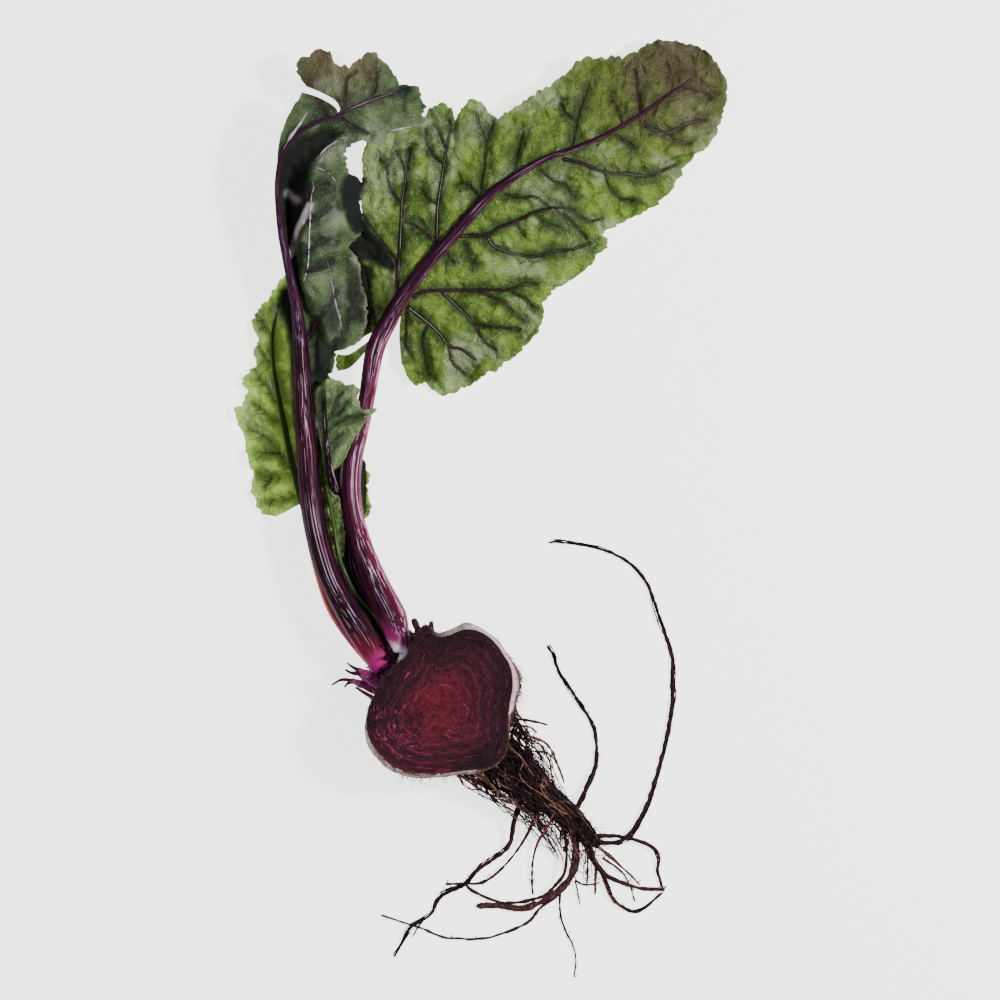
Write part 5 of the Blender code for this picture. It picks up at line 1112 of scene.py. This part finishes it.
def skinGrid():                                 # rings from where it rests up to the cut
    level = np.zeros((bulbForm["sides"], 1))
    top = bulbForm["cutHeight"]
    rings = [np.hstack([unit(outline) * bulbForm["restRadius"], level])]
    for share, height in bulbForm["rings"]:
        evening = 0.55 * max(0.0, 1 - height / bulbForm["widestHeight"])
        ring = (outline * (1 - evening) + unit(outline) * bulbForm["roundRadius"] * evening) * share
        rings.append(np.hstack([ring, level + height]))
    rings.append(np.hstack([brim, level + top]))
    rings.append(np.hstack([brim * 0.97, level + top - 0.4]))
    grid = curveAt(np.array(rings), np.linspace(0, len(rings) - 1, bulbForm["rows"]))
    out = unit(grid - np.array((0, 0, 18.0)))
    lumps = ripple(grid, 9, 21) * 0.6 + ripple(grid * np.array((1, 1, 2.2)), 3.2, 22) * 0.4
    calm = np.clip(grid[..., 2:] / 6, 0, 1) * np.clip((top - grid[..., 2:]) / 3, 0.02, 1)
    grid += out * lumps[..., None] * bulbForm["wrinkle"] * calm
    grid[..., 2] = np.clip(grid[..., 2], 0, top + 0.1)
    return grid


def facePoint(share, around):                   # point of the cut face by ring and direction
    edge = brim[int(around * len(brim)) % len(brim)]
    spot = np.array(bulbForm["centre"]) * (1 - share) + edge * share
    return (spot[0], spot[1], bulbForm["cutHeight"] + bulbForm["fleckLift"])


def faceArc(dice, level, start, reach, stray):  # four points along a ring of the cut face
    return [facePoint(level + dice.uniform(-stray, stray), start + reach * i / 3) for i in range(4)]


def skinMaterial():
    skin = Shader("beet_skin")
    spot = skin.place()
    stripe = skin.noise(skin.place((1, 0.07, 1), "belt"), 0.5, 3, 0.6)
    sunny = skin.field("sunny")
    grit = skin.noise(spot, 1.0, 5, 0.7)
    blotch = skin.noise(spot, 6, 4, 0.6, 0.8)
    flake = skin.noise(skin.place((1, 1, 5)), 2.2, 4, 0.65, 1.0)
    colour = skin.mix(skin.fade(blotch, 0.35, 0.65), tone(48, 26, 28), tone(98, 66, 62))
    # pale band below the cut: partly the flaky skin's own colour, partly painted light, lighter and pinker on
    # the sunny side
    pale = skin.field("pale") * skin.fade(flake * 0.6 + blotch * 0.4 + sunny * 0.15, 0.42, 0.6)
    colour = skin.mix(pale * 0.95, colour, skin.mix(sunny, tone(208, 198, 196), tone(228, 186, 198)))
    colour = skin.mix(skin.fade(stripe, 0.5, 0.66) * 0.65, colour, tone(140, 92, 90))
    colour = skin.mix(skin.fade(grit, 0.54, 0.66) * 0.6, colour, tone(60, 32, 34))
    colour = skin.mix(skin.field("crown") * 0.95, colour, tone(40, 16, 28))
    return skin.finish(colour, 0.8, flake + grit * 0.6, 0.8, 0.2)


def fleshMaterial():
    flesh = Shader("beet_flesh")
    spot = flesh.place()
    ring = flesh.field("ring")
    gloom = flesh.field("gloom")
    drift = flesh.noise(spot, 11, 3, 0.5)
    grit = flesh.noise(spot, 0.7, 5, 0.75)
    blur = flesh.noise(spot, 4, 4, 0.6, 1.2)
    core = 1 - flesh.fade(ring + drift * 1.1 + blur * 0.3 + gloom * 0.5, 0.75, 1.4)
    colour = flesh.mix(core, tone(50, 15, 28), tone(104, 28, 34))
    around = flesh.noise(flesh.place((13, 0.5, 1), "polar"), 1.0, 4, 0.65, 0.3)
    bands = flesh.fade(around + blur * 0.3, 0.64, 0.84)
    arcs = flesh.fade(flesh.maths("SINE", ring * 44 + drift * 6) * 0.3 + blur, 0.5, 0.8)
    colour = flesh.mix(bands * 0.8 * (0.25 + core), colour, tone(152, 46, 84))
    colour = flesh.mix(arcs * 0.32, colour, tone(126, 42, 64))
    grooves = flesh.fade(flesh.noise(flesh.place((17, 0.35, 1), "polar"), 1.0, 3, 0.6), 0.5, 0.68)
    colour = flesh.mix(grooves * 0.65, colour, tone(38, 11, 20))
    colour = flesh.mix(flesh.fade(blur, 0.46, 0.66) * 0.5, colour, tone(44, 13, 22))
    shade = flesh.fade(gloom + grit * 0.5 + drift * 0.4, 0.6, 1.4)
    colour = flesh.mix(shade * 0.9, colour, tone(28, 10, 18))
    pips = flesh.fade(grit, 0.58, 0.68) * (0.15 + gloom * 0.3)
    colour = flesh.mix(pips, colour, tone(120, 54, 92))
    # painted glints of the wet cut: tiny pale pink points
    wetGlints = flesh.fade(flesh.noise(spot, 0.45, 2, 0.5), 0.69, 0.76)
    colour = flesh.mix(wetGlints * 0.4, colour, tone(210, 130, 170))
    height = grit * 0.8 + bands * 0.5 - grooves * 0.4 + blur * 0.6
    return flesh.finish(colour, 0.5 + grit * 0.2, height, 0.8, 0.35)


def threadMaterial(name, dark, mid, light, rosy=None):
    thread = Shader(name)
    kind = thread.field("kind")
    grit = thread.noise(thread.place(), 1.2, 4, 0.65)
    colour = thread.mix(thread.fade(kind + grit * 0.5, 0.3, 0.8), dark, mid)
    colour = thread.mix(thread.fade(kind + grit * 0.7, 0.95, 1.35), colour, light)
    if rosy:
        colour = thread.mix(thread.fade(kind, 1.6, 1.8), colour, rosy)
    return thread.finish(colour, 0.75, grit, 0.5, 0.25)


skinPoints = skinGrid()
height = skinPoints[..., 2]
bearing = bearings(skinPoints)
sunny = np.interp(bearing, *bulbForm["sunny"])
leafy = np.interp(bearing, *bulbForm["leafy"]) * np.clip((height - 8) / 10, 0, 1)
paleFrom = np.interp(bearing, *bulbForm["paleFrom"])
pale = np.clip((height - paleFrom) / (29.8 - np.minimum(paleFrom, 28.8)), 0, 1)
reach = np.linalg.norm(skinPoints[..., :2], axis=-1) + height * 0.7
belt = np.dstack([reach, bearing * 0.5, np.zeros(bearing.shape)])
skin = Shape()
skin.addTube(skinPoints, pale=pale, sunny=sunny, crown=leafy, belt=belt)
skin.toObject("bulb_skin", skinMaterial(), "bulb")

share = np.linspace(0.002, 1, bulbForm["faceRows"])[:, None]
centre = np.array(bulbForm["centre"])
facePoints = centre * (1 - share[..., None]) + brim[None] * share[..., None]
facePoints = np.dstack([facePoints, np.full(facePoints.shape[:2], bulbForm["cutHeight"])])
relief = 0.10 * ripple(facePoints, 5, 31) + 0.05 * ripple(facePoints, 1.8, 32)
rings = 0.05 * np.sin(share * 62) * np.clip(1.4 - share, 0, 1)
brow = -0.3 * np.clip((share - 0.97) / 0.03, 0, 1) ** 2
facePoints[..., 2] += 0.12 + relief + rings + brow
ring = np.broadcast_to(share, relief.shape)
around = np.arange(bulbForm["sides"]) / bulbForm["sides"] * 100
polar = np.dstack([ring, np.broadcast_to(around, relief.shape), np.zeros(relief.shape)])
x, y = facePoints[..., 0], facePoints[..., 1]
gloom = np.maximum.reduce([                     # darker towards the rim, most at the lower right
    np.clip((y - 8) / 20, 0, 1),
    np.clip((x - 13) / 13, 0, 1),
    np.clip((-14 - x + y * 0.5) / 12, 0, 1),
    np.clip((x - y - 27) / 12, 0, 1) * 1.4,
])
face = Shape()
face.addTube(facePoints, ring=ring, polar=polar, gloom=gloom)
face.toObject("bulb_cut_face", fleshMaterial(), "bulb")

fleckForm = {
    "flecks": 240, "streaks": 70, "seed": 5,
    "pink": tone(170, 60, 104), "pale": tone(206, 128, 168), "dull": tone(112, 30, 62),
    "marks": [
        [(-2, 6.8), (2, 6.6), (6, 3.6)], [(6.8, 0), (8.8, -2), (10.8, -4.4)],
        [(-18, -12), (-13.2, -16.8), (-10, -20.8)], [(0, -12.8), (4, -14), (8, -14)],
        [(-11.8, -8), (-12, -9.6), (-12.4, -11)], [(-23, -16.4), (-18, -20.8)],
        [(1, 12), (1.6, 9), (1.2, 6.4)], [(-14, 12), (-16, 8), (-17, 4)], [(-24, -11), (-20, -15)],
    ],
}
dice = random.Random(fleckForm["seed"])
flecks = Shape()
for _ in range(fleckForm["flecks"]):
    level = dice.uniform(0.15, 0.95) ** 0.7
    start = dice.random()
    line = faceArc(dice, level, start, dice.uniform(0.005, 0.02) / level, 0.01)
    addThread(flecks, line, dice.uniform(0.04, 0.1), 0.03, 5, 0.5, kind=dice.random() * 0.7)
for _ in range(fleckForm["streaks"]):           # brighter streaks in the lower left
    level = dice.uniform(0.5, 0.92)
    start = dice.uniform(0.5, 0.74)
    line = faceArc(dice, level, start, dice.uniform(0.008, 0.03), 0.015)
    addThread(flecks, line, dice.uniform(0.07, 0.16), 0.04, 5, 0.5, 0.4, kind=dice.uniform(0.35, 0.8))
for line in fleckForm["marks"]:
    spots = [(x, y, bulbForm["cutHeight"] + bulbForm["fleckLift"]) for x, y in line]
    addThread(flecks, spots, 0.09, 0.04, 6, 0.5, 0.8, kind=0.6)
fleckMaterial = threadMaterial("flecks", fleckForm["dull"], fleckForm["pink"], fleckForm["pale"])
flecks.toObject("bulb_flecks", fleckMaterial, "bulb")

print("crown")
crownForm = {
    "centre": (-18, 16.5, 13.5), "size": (12.5, 11.5, 10.5), "rows": 48, "sides": 120,
    "scales": 46, "fuzz": 170, "rimFuzz": 300, "seed": 8,
    # stubs: points, radius at the start and at the end, how light
    "stubs": [
        ([(-19, 6, 17), (-27, 8, 20), (-35, 12.4, 22)], 4.2, 1.5, 0.85),
        ([(-33.5, 12, 21.5), (-36.5, 13.6, 22.5), (-39, 15.6, 23)], 0.9, 0.3, 0.05),
        ([(-33, 11, 22), (-37, 11.4, 24), (-39.6, 12.8, 23)], 1.0, 0.4, 0.05),
        ([(-20, 3, 14), (-30, 5.6, 18), (-37.5, 8.6, 20)], 3.0, 1.0, 0.85),
        ([(-36, 8.2, 19.5), (-41, 8.6, 21), (-45, 6.4, 21)], 0.9, 0.25, 0.05),
        ([(-34, 7.5, 18), (-38, 7.4, 18.5), (-40, 5.4, 18)], 1.2, 0.3, 0.05),
        ([(-20, -4, 15), (-28, 1, 18), (-35.5, 5.6, 19)], 1.5, 0.5, 0.85),
        ([(-8, 18, 19), (-9.5, 26, 22), (-12.5, 33, 23.5)], 3.0, 1.0, 0.62),
        ([(-5, 20, 20), (-5.5, 27, 23), (-5.2, 32, 24.5)], 2.6, 0.9, 0.62),
        ([(0, 18, 22), (1, 24, 25), (0.6, 27.6, 27)], 2.0, 0.6, 0.62),
        ([(-11, 25, 29), (-9.2, 23.6, 31), (-7, 19.6, 31.2), (-4.8, 15.4, 31.1)], 0.4, 0.15, 0.62),
        ([(-13, 21, 29.6), (-12, 20, 30.6), (-11, 19.4, 30.4)], 0.7, 0.4, 0.62),
    ],
}


def crownPoint(angle, slope, out=1.0):          # slope 0 at the rim, 1 at the top
    flat = math.cos(slope * math.pi / 2)
    spoke = np.array((math.cos(angle) * flat, math.sin(angle) * flat, math.sin(slope * math.pi / 2)))
    return np.array(crownForm["centre"]) + np.array(crownForm["size"]) * spoke * out, unit(spoke)


def crownMaterial():
    crown = Shader("crown")
    kind = crown.field("kind")
    grit = crown.noise(crown.place(), 0.8, 5, 0.75)
    streak = crown.noise(crown.place(), 1.6, 3, 0.6, 1.5)
    colour = crown.mix(crown.fade(grit, 0.42, 0.6), tone(20, 8, 14), tone(74, 18, 44))
    flush = crown.fade(kind + streak * 0.6, 0.85, 1.35)
    colour = crown.mix(flush, colour, tone(150, 44, 108))
    # palest pink on the lightest stubs: partly cut tissue, partly painted highlights
    colour = crown.mix(crown.fade(kind + grit * 0.9, 1.3, 1.55) * 0.6, colour, tone(214, 150, 190))
    return crown.finish(colour, 0.6, grit + streak, 0.8, 0.3)


dice = random.Random(crownForm["seed"])
crown = Shape()
slopes = np.linspace(-0.6, 1, crownForm["rows"])
angles = np.arange(crownForm["sides"]) / crownForm["sides"] * turn
mound = np.array([[crownPoint(angle, slope)[0] for angle in angles] for slope in slopes])
lumps = 0.7 * ripple(mound, 5, 41) + 0.3 * ripple(mound, 2, 42)
mound += unit(mound - np.array(crownForm["centre"])) * lumps[..., None]
crown.addTube(mound, kind=0.2)
for k in range(crownForm["scales"]):
    angle = dice.uniform(0.2, 4.4)
    base, out = crownPoint(angle, dice.uniform(0.2, 0.9))
    lift = upward * dice.uniform(0.2, 1.2)
    tip = base + out * dice.uniform(1.2, 3.2) + lift
    bow = (base + tip) / 2 + unit(np.cross(out, upward)) * dice.uniform(-0.6, 0.6)
    addThread(crown, [base - out, bow, tip], dice.uniform(0.5, 1.2), 0.2, 7, 0.6, 0.2, k,
              kind=dice.uniform(0, 0.75))
for points, first, last, kind in crownForm["stubs"]:
    addThread(crown, points, first, last, 20, 0.5, 0.12, 3, kind=kind)
crown.toObject("crown", crownMaterial(), "bulb")

fuzz = Shape()
for _ in range(crownForm["fuzz"]):
    base, out = crownPoint(dice.uniform(0, turn), dice.uniform(0.1, 1.0))
    tip = base + out * dice.uniform(0.8, 2.6) + drawn(dice, (-1, 1), (-1, 1), (0, 1))
    line = [base - out * 0.3, (base + tip) / 2 + out * 0.3, tip]
    addThread(fuzz, line, dice.uniform(0.08, 0.2), 0.04, 4, 0.6, kind=dice.random())
for _ in range(crownForm["rimFuzz"]):
    around = dice.uniform(0.72, 1.03)
    spot = np.array(facePoint(dice.uniform(0.8, 1.0) ** 0.5, around)) - upward * 0.4
    tip = spot + drawn(dice, (-2.2, 0.6), (-0.6, 2.2), (-1.5, 0.6))
    line = [spot, (spot + tip) / 2, tip]
    addThread(fuzz, line, dice.uniform(0.08, 0.22), 0.05, 4, 0.6, kind=dice.random())
fuzzMaterial = threadMaterial("fuzz", tone(16, 8, 12), tone(66, 24, 42), tone(150, 84, 122))
fuzz.toObject("crown_fuzz", fuzzMaterial, "bulb")

print("roots")
rootForm = {
    "strands": 300, "rootlets": 200, "followers": 5, "seed": 17,
    # roots: points, radius at the start and at the end
    "long": [
        ([(60, -57, 6), (70.8, -56, 3), (78.8, -46, 1.5), (84, -32, 0.6), (89.2, -12, 0.6),
          (91.2, 4, 0.6), (90.4, 18, 0.6), (86, 32, 0.6), (81.2, 46, 0.6), (74, 54.8, 0.6),
          (62, 60.4, 0.6), (46, 63.2, 0.5), (41.6, 62.8, 0.4)], 0.95, 0.45),
        ([(49, -47, 9), (54, -40, 5), (58, -32, 2.6), (60.6, -24, 1), (59.6, -12, 0.7),
          (54, -1.2, 0.6), (46, 10.8, 0.6), (43.2, 18, 0.5), (40.8, 21.6, 0.4)], 1.0, 0.4),
        ([(56, -55, 7), (64, -54, 5), (72, -54.8, 3), (82, -58, 1.5), (85.6, -62.8, 1),
          (85.2, -68, 0.8), (87.2, -76, 0.6)], 0.85, 0.5),
        ([(56, -57, 6), (58.4, -62, 4), (62, -67.2, 2.4), (66.8, -71.2, 1.4), (78, -75.2, 1.1),
          (88, -75.6, 0.9)], 1.0, 0.7),
        ([(58, -58, 6), (60, -64.8, 4), (63.2, -70.4, 2), (67.6, -80, 0.9), (76.8, -84.4, 0.7),
          (86.8, -77.2, 0.7)], 0.9, 0.55),
        ([(60, -57.5, 5.5), (68, -64, 3), (73.2, -68.8, 2), (78, -74, 1.6)], 0.75, 0.4),
        ([(50, -50, 8), (52, -58, 5), (51.2, -68, 3), (48, -74, 2), (43.2, -78, 1.5),
          (32, -83.2, 1.2), (20, -82, 1.1), (12.4, -82.4, 1.0)], 1.5, 1.1),
        ([(47, -48, 8), (48.4, -58, 6), (48, -68, 5), (44, -74, 4.2), (38, -78.8, 3.6),
          (24, -81, 2.8), (12, -76.8, 1.2), (8, -73.6, 0.8)], 0.8, 0.6),
        ([(32, -36, 9), (28, -48, 5.5), (25.2, -58.8, 3), (14, -67.2, 1.5), (7.6, -73.6, 1),
          (-2, -78.4, 0.8), (-6, -86, 0.7), (-13.2, -90.4, 0.7), (-17.2, -97.2, 0.5),
          (-20.4, -102.8, 0.35)], 0.95, 0.35),
        ([(38, -41, 8), (34, -51.2, 5), (28.8, -60, 4), (22, -68, 2.6), (15.2, -72.8, 1.8),
          (7.6, -73.4, 1.2), (0, -73.6, 0.7)], 0.8, 0.5),
        ([(48, -75, 2.4), (43, -79.6, 2), (38, -83.2, 1.6), (32, -89.6, 0.8), (16, -95.2, 0.6),
          (0, -94.8, 0.6), (-10.8, -90.8, 0.8), (-25.6, -86, 0.5)], 0.65, 0.4),
        ([(46, -76, 2.2), (46, -84, 1), (47.2, -90, 0.6), (51.2, -98, 0.5), (52.4, -104, 0.4),
          (51.6, -110.8, 0.35)], 0.5, 0.3),
        ([(42, -40, 13), (44, -44, 12.6), (40.6, -51, 7), (37.2, -56.8, 4), (35.2, -64, 2),
          (34.8, -72, 1), (35.2, -78, 0.6)], 0.65, 0.4),
    ],
    "bulb": [
        ([(22, -11, 20), (33, -13.6, 18), (38.6, -15.6, 15.5), (42.4, -19.6, 13), (45.6, -27, 11),
          (47.4, -32, 9)], 0.8, 0.45),
        ([(22, -7, 20), (28, -7.2, 18.6), (34, -7.6, 17), (41.2, -9.6, 14)], 0.9, 0.35),
        ([(22, -9, 17), (29, -9.6, 15.4), (34, -10.6, 13.4), (37, -13, 10)], 0.8, 0.35),
    ],
    "wisps": [
        ([(63, -63, 2), (68.8, -67.2, 1.2), (72, -70, 0.8), (74, -74, 0.6), (76, -80.8, 0.5)], 0.5, 0.3),
        ([(-2, -77, 0.8), (2, -75.2, 0.7), (7.6, -73.6, 0.6)], 0.4, 0.3),
        ([(-8, -87.2, 0.6), (-10.8, -90.8, 0.6), (-13.2, -95.2, 0.5)], 0.4, 0.25),
        ([(57.2, -60, 5), (57, -68, 2), (56.8, -74, 0.8)], 0.55, 0.3),
        ([(59.2, -60, 5), (60.4, -68, 2), (60, -78, 0.8)], 0.5, 0.6),
        ([(52, -72, 1.5), (56, -74, 1), (62, -73.2, 0.8)], 0.5, 0.3),
        ([(52, -72, 1.5), (53.2, -78, 1), (54, -82, 0.6)], 0.45, 0.25),
        ([(33, -15, 17), (38, -17.2, 15), (40.8, -22, 12), (42.4, -28, 9), (43.2, -36, 9)], 0.4, 0.3),
        ([(35, -20, 16), (41.2, -20.8, 14), (45.2, -26, 10), (47.6, -33.2, 7)], 0.4, 0.3),
    ],
    # loose fibres: where they leave, where they end
    "fans": [
        {"count": 130, "heights": (13, 20), "low": 2, "sway": 2.4,
         "from": [(2, -28.4), (12, -28), (20, -25.6), (25, -20)],
         "to": [(22, -42), (30, -50), (39, -58), (46, -66), (50, -70)]},
        {"count": 60, "heights": (14, 24), "low": 5, "sway": 3.6,
         "from": [(27.6, -2), (27, -8), (26.4, -14), (25, -20)],
         "to": [(34, -18), (40, -27), (47, -38), (54, -48), (59, -52)]},
        {"count": 60, "heights": (5, 9), "low": 0.8, "sway": 2.6,
         "from": [(40, -40), (46, -46), (52, -51), (56, -55)],
         "to": [(44, -66), (50, -72), (57, -76), (64, -72), (68, -66)]},
    ],
    "rosy": [
        (0.36, [(45.8, -37.4, 14.6), (44.2, -43, 15.4), (40.8, -50, 13), (36.6, -57.6, 9)]),
        (0.2, [(37, -45, 15), (35, -49, 13), (31.6, -52, 10), (30, -56, 8)]),
        (0.24, [(50, -53, 10), (51.4, -58, 9.6), (53.6, -61, 8), (54, -66, 6)]),
    ],
}
coreForm = {
    "line": [(17, -17, 19), (26, -25.6, 17), (37, -36, 13), (47.6, -44.4, 9.6), (56, -53, 7), (62, -58, 5)],
    "radii": [7, 6.2, 4.4, 3.7, 3.2, 1.2], "end": 4.9,
}


def coreRadius(places):
    return np.interp(places, range(len(coreForm["radii"])), coreForm["radii"])


def coreFrame(place):                           # point, three directions and radius of the core
    line = coreForm["line"]
    ahead = unit(curveAt(line, place + 0.1)[0] - curveAt(line, place - 0.1)[0])
    across = unit(np.cross(ahead, upward))
    return curveAt(line, place)[0], ahead, across, np.cross(across, ahead), coreRadius(place)


roots = Shape()
loose = Shape()
dice = random.Random(rootForm["seed"])
places, _ = evenPlaces(coreForm["line"], 0.5)
path = curveAt(coreForm["line"], places)
core = tubeGrid(path, coreRadius(places), 60)
lumps = 0.9 * ripple(core, 6, 51) + 0.5 * ripple(core, 2.2, 52)
core += unit(core - path[:, None]) * lumps[..., None]
core[..., 2] = np.clip(core[..., 2], 0.3, highest)
roots.addTube(core, kind=0.1)
for k, (points, first, last) in enumerate(rootForm["long"]):
    addThread(roots, points, first, last, 9, 0.7, 0.2, k, kind=dice.uniform(0.25, 0.7))
    if first > 0.8:                             # thinner roots that follow the thick ones
        for j in range(rootForm["followers"]):
            shift = [drawn(dice, (-1, 1), (-1, 1), (0, 0.8)) * (first, first, 1) for _ in points]
            beside = np.array(points, float) + np.array(shift)
            addThread(loose, beside, 0.42, 0.18, 5, 0.8, 0.4, k + j, kind=dice.random() ** 2)
for k, (points, first, last) in enumerate(rootForm["bulb"] + rootForm["wisps"]):
    addThread(roots, points, first, last, 7, 0.8, 0.25, k + 20, kind=dice.uniform(0.2, 0.8))
for k in range(rootForm["strands"]):            # fibres winding along the core
    turnAt = dice.uniform(-0.7, 3.8)
    start = dice.uniform(-0.3, 2.6)
    swing = dice.uniform(-1.3, 1.3)
    line = []
    for i in range(7):
        place = max(start + i * dice.uniform(0.35, 0.7), 0)
        if place > coreForm["end"]:
            break
        middle, ahead, across, above, radius = coreFrame(place)
        angle = turnAt + swing * i + dice.uniform(-0.35, 0.35)
        wide = radius * dice.uniform(0.9, 1.35) + 0.2
        line.append(middle + (across * math.cos(angle) + above * math.sin(angle)) * wide)
    if len(line) > 3:
        addThread(roots, line, dice.uniform(0.12, 0.36), dice.uniform(0.08, 0.2), 5, 1.0, 0.3, k,
                  kind=dice.random() ** 3)
for fan in rootForm["fans"]:
    for k in range(fan["count"]):
        share = dice.random()
        begin = curveAt(fan["from"], share * (len(fan["from"]) - 1))[0]
        reach = (share * 0.75 + dice.random() * 0.25) * (len(fan["to"]) - 1)
        inward = dice.random() ** 1.3
        middle = curveAt(coreForm["line"], dice.uniform(1.2, 4.4))[0][:2]
        end = curveAt(fan["to"], reach)[0] * (1 - inward) + middle * inward
        high = dice.uniform(*fan["heights"])
        low = fan["low"] + inward * dice.uniform(2, 8)
        line = []
        for i in range(6):
            part = i / 5
            sway = fan["sway"] * math.sin(part * math.pi) + 0.3
            spot = begin * (1 - part) + end * part + drawn(dice, (-1, 1), (-1, 1)) * sway
            line.append((*spot, high * (1 - part) + low * part))
        addThread(loose, line, dice.uniform(0.14, 0.38), dice.uniform(0.08, 0.16), 5, 1.0, 0.3, k,
                  kind=dice.random() ** 1.2)
for k in range(rootForm["rootlets"]):           # short rootlets of the core
    middle, ahead, across, above, radius = coreFrame(dice.uniform(0.6, coreForm["end"]))
    angle = dice.uniform(-0.9, 4.0)
    out = across * math.cos(angle) + above * math.sin(angle)
    base = middle + out * radius * 0.8
    length = dice.uniform(2, 7)
    tip = base + (out * dice.uniform(0.3, 0.9) + ahead * dice.uniform(0.2, 1.1)) * length
    tip[2] = max(tip[2] - dice.uniform(1, 5), 0.4)
    bow = (base + tip) / 2 + across * dice.uniform(-1.5, 1.5)
    addThread(loose, [base, bow, tip], dice.uniform(0.1, 0.26), 0.07, 4, 0.9, 0.2, k, kind=dice.random())
for points, first, _ in rootForm["long"] + rootForm["wisps"]:   # side rootlets of the long roots
    for k in range(int(2 + 1.6 * len(points))):
        base = curveAt(points, dice.uniform(0.3, len(points) - 1))[0]
        way = dice.uniform(0, turn)
        length = dice.uniform(0.6, 2.6)
        tip = base + np.array((math.cos(way), math.sin(way), 0)) * length
        bow = (base + tip) / 2
        bow[:2] += drawn(dice, (-0.5, 0.5), (-0.5, 0.5))
        addThread(loose, [base, bow, tip], first * dice.uniform(0.2, 0.45), 0.06, 4, 0.6, 0.2, k,
                  kind=dice.random())
for radius, line in rootForm["rosy"]:
    addThread(loose, line, radius, radius * 0.6, 7, 0.6, 0.4, 2, kind=2)
rootTones = {"dark": tone(15, 7, 11), "mid": tone(50, 22, 30), "light": tone(146, 106, 88),
             "rosy": tone(116, 50, 66)}
rootMaterial = threadMaterial("roots", **rootTones)
roots.toObject("root_strands", rootMaterial, "root_tail")
loose.toObject("root_fibres", rootMaterial, "root_tail")

hairForm = {"flank": 260, "beard": 140, "places": 200}
flank = closedCurve(bulbForm["widest"], hairForm["places"])
hairs = Shape()
for _ in range(hairForm["flank"]):
    edge = flank[int(dice.uniform(0.14, 0.56) * hairForm["places"])]
    base = np.array((*edge * 0.98, dice.uniform(16, 27)))
    out = unit(np.array((*edge, 0.0)))
    tip = base + out * dice.uniform(-0.4, 1.6)
    tip += np.array((dice.uniform(-1, 1.4), -1, 0)) * dice.uniform(0, 4)
    tip -= upward * dice.uniform(0, 4)
    bow = (base + tip) / 2 + out * dice.uniform(0, 0.8)
    addThread(hairs, [base, bow, tip], dice.uniform(0.07, 0.16), 0.05, 4, 0.7, 0.2, kind=dice.random())
for _ in range(hairForm["beard"]):              # a dark beard under the rim on the sunny side
    edge = flank[int(dice.uniform(0.17, 0.33) * hairForm["places"])]
    base = np.array((*edge * 0.985, dice.uniform(20, 28)))
    tip = base + drawn(dice, (-0.3, 1.1), (-2.4, 0.8), (-2, 0.6))
    bow = (base + tip) / 2 + np.array((0.3, 0, 0))
    addThread(hairs, [base, bow, tip], dice.uniform(0.1, 0.2), 0.06, 4, 0.7, 0.2,
              kind=dice.random() * 0.5)
hairMaterial = threadMaterial("hairs", tone(30, 18, 18), tone(80, 52, 44), tone(160, 130, 110))
hairs.toObject("bulb_hairs", hairMaterial, "bulb")
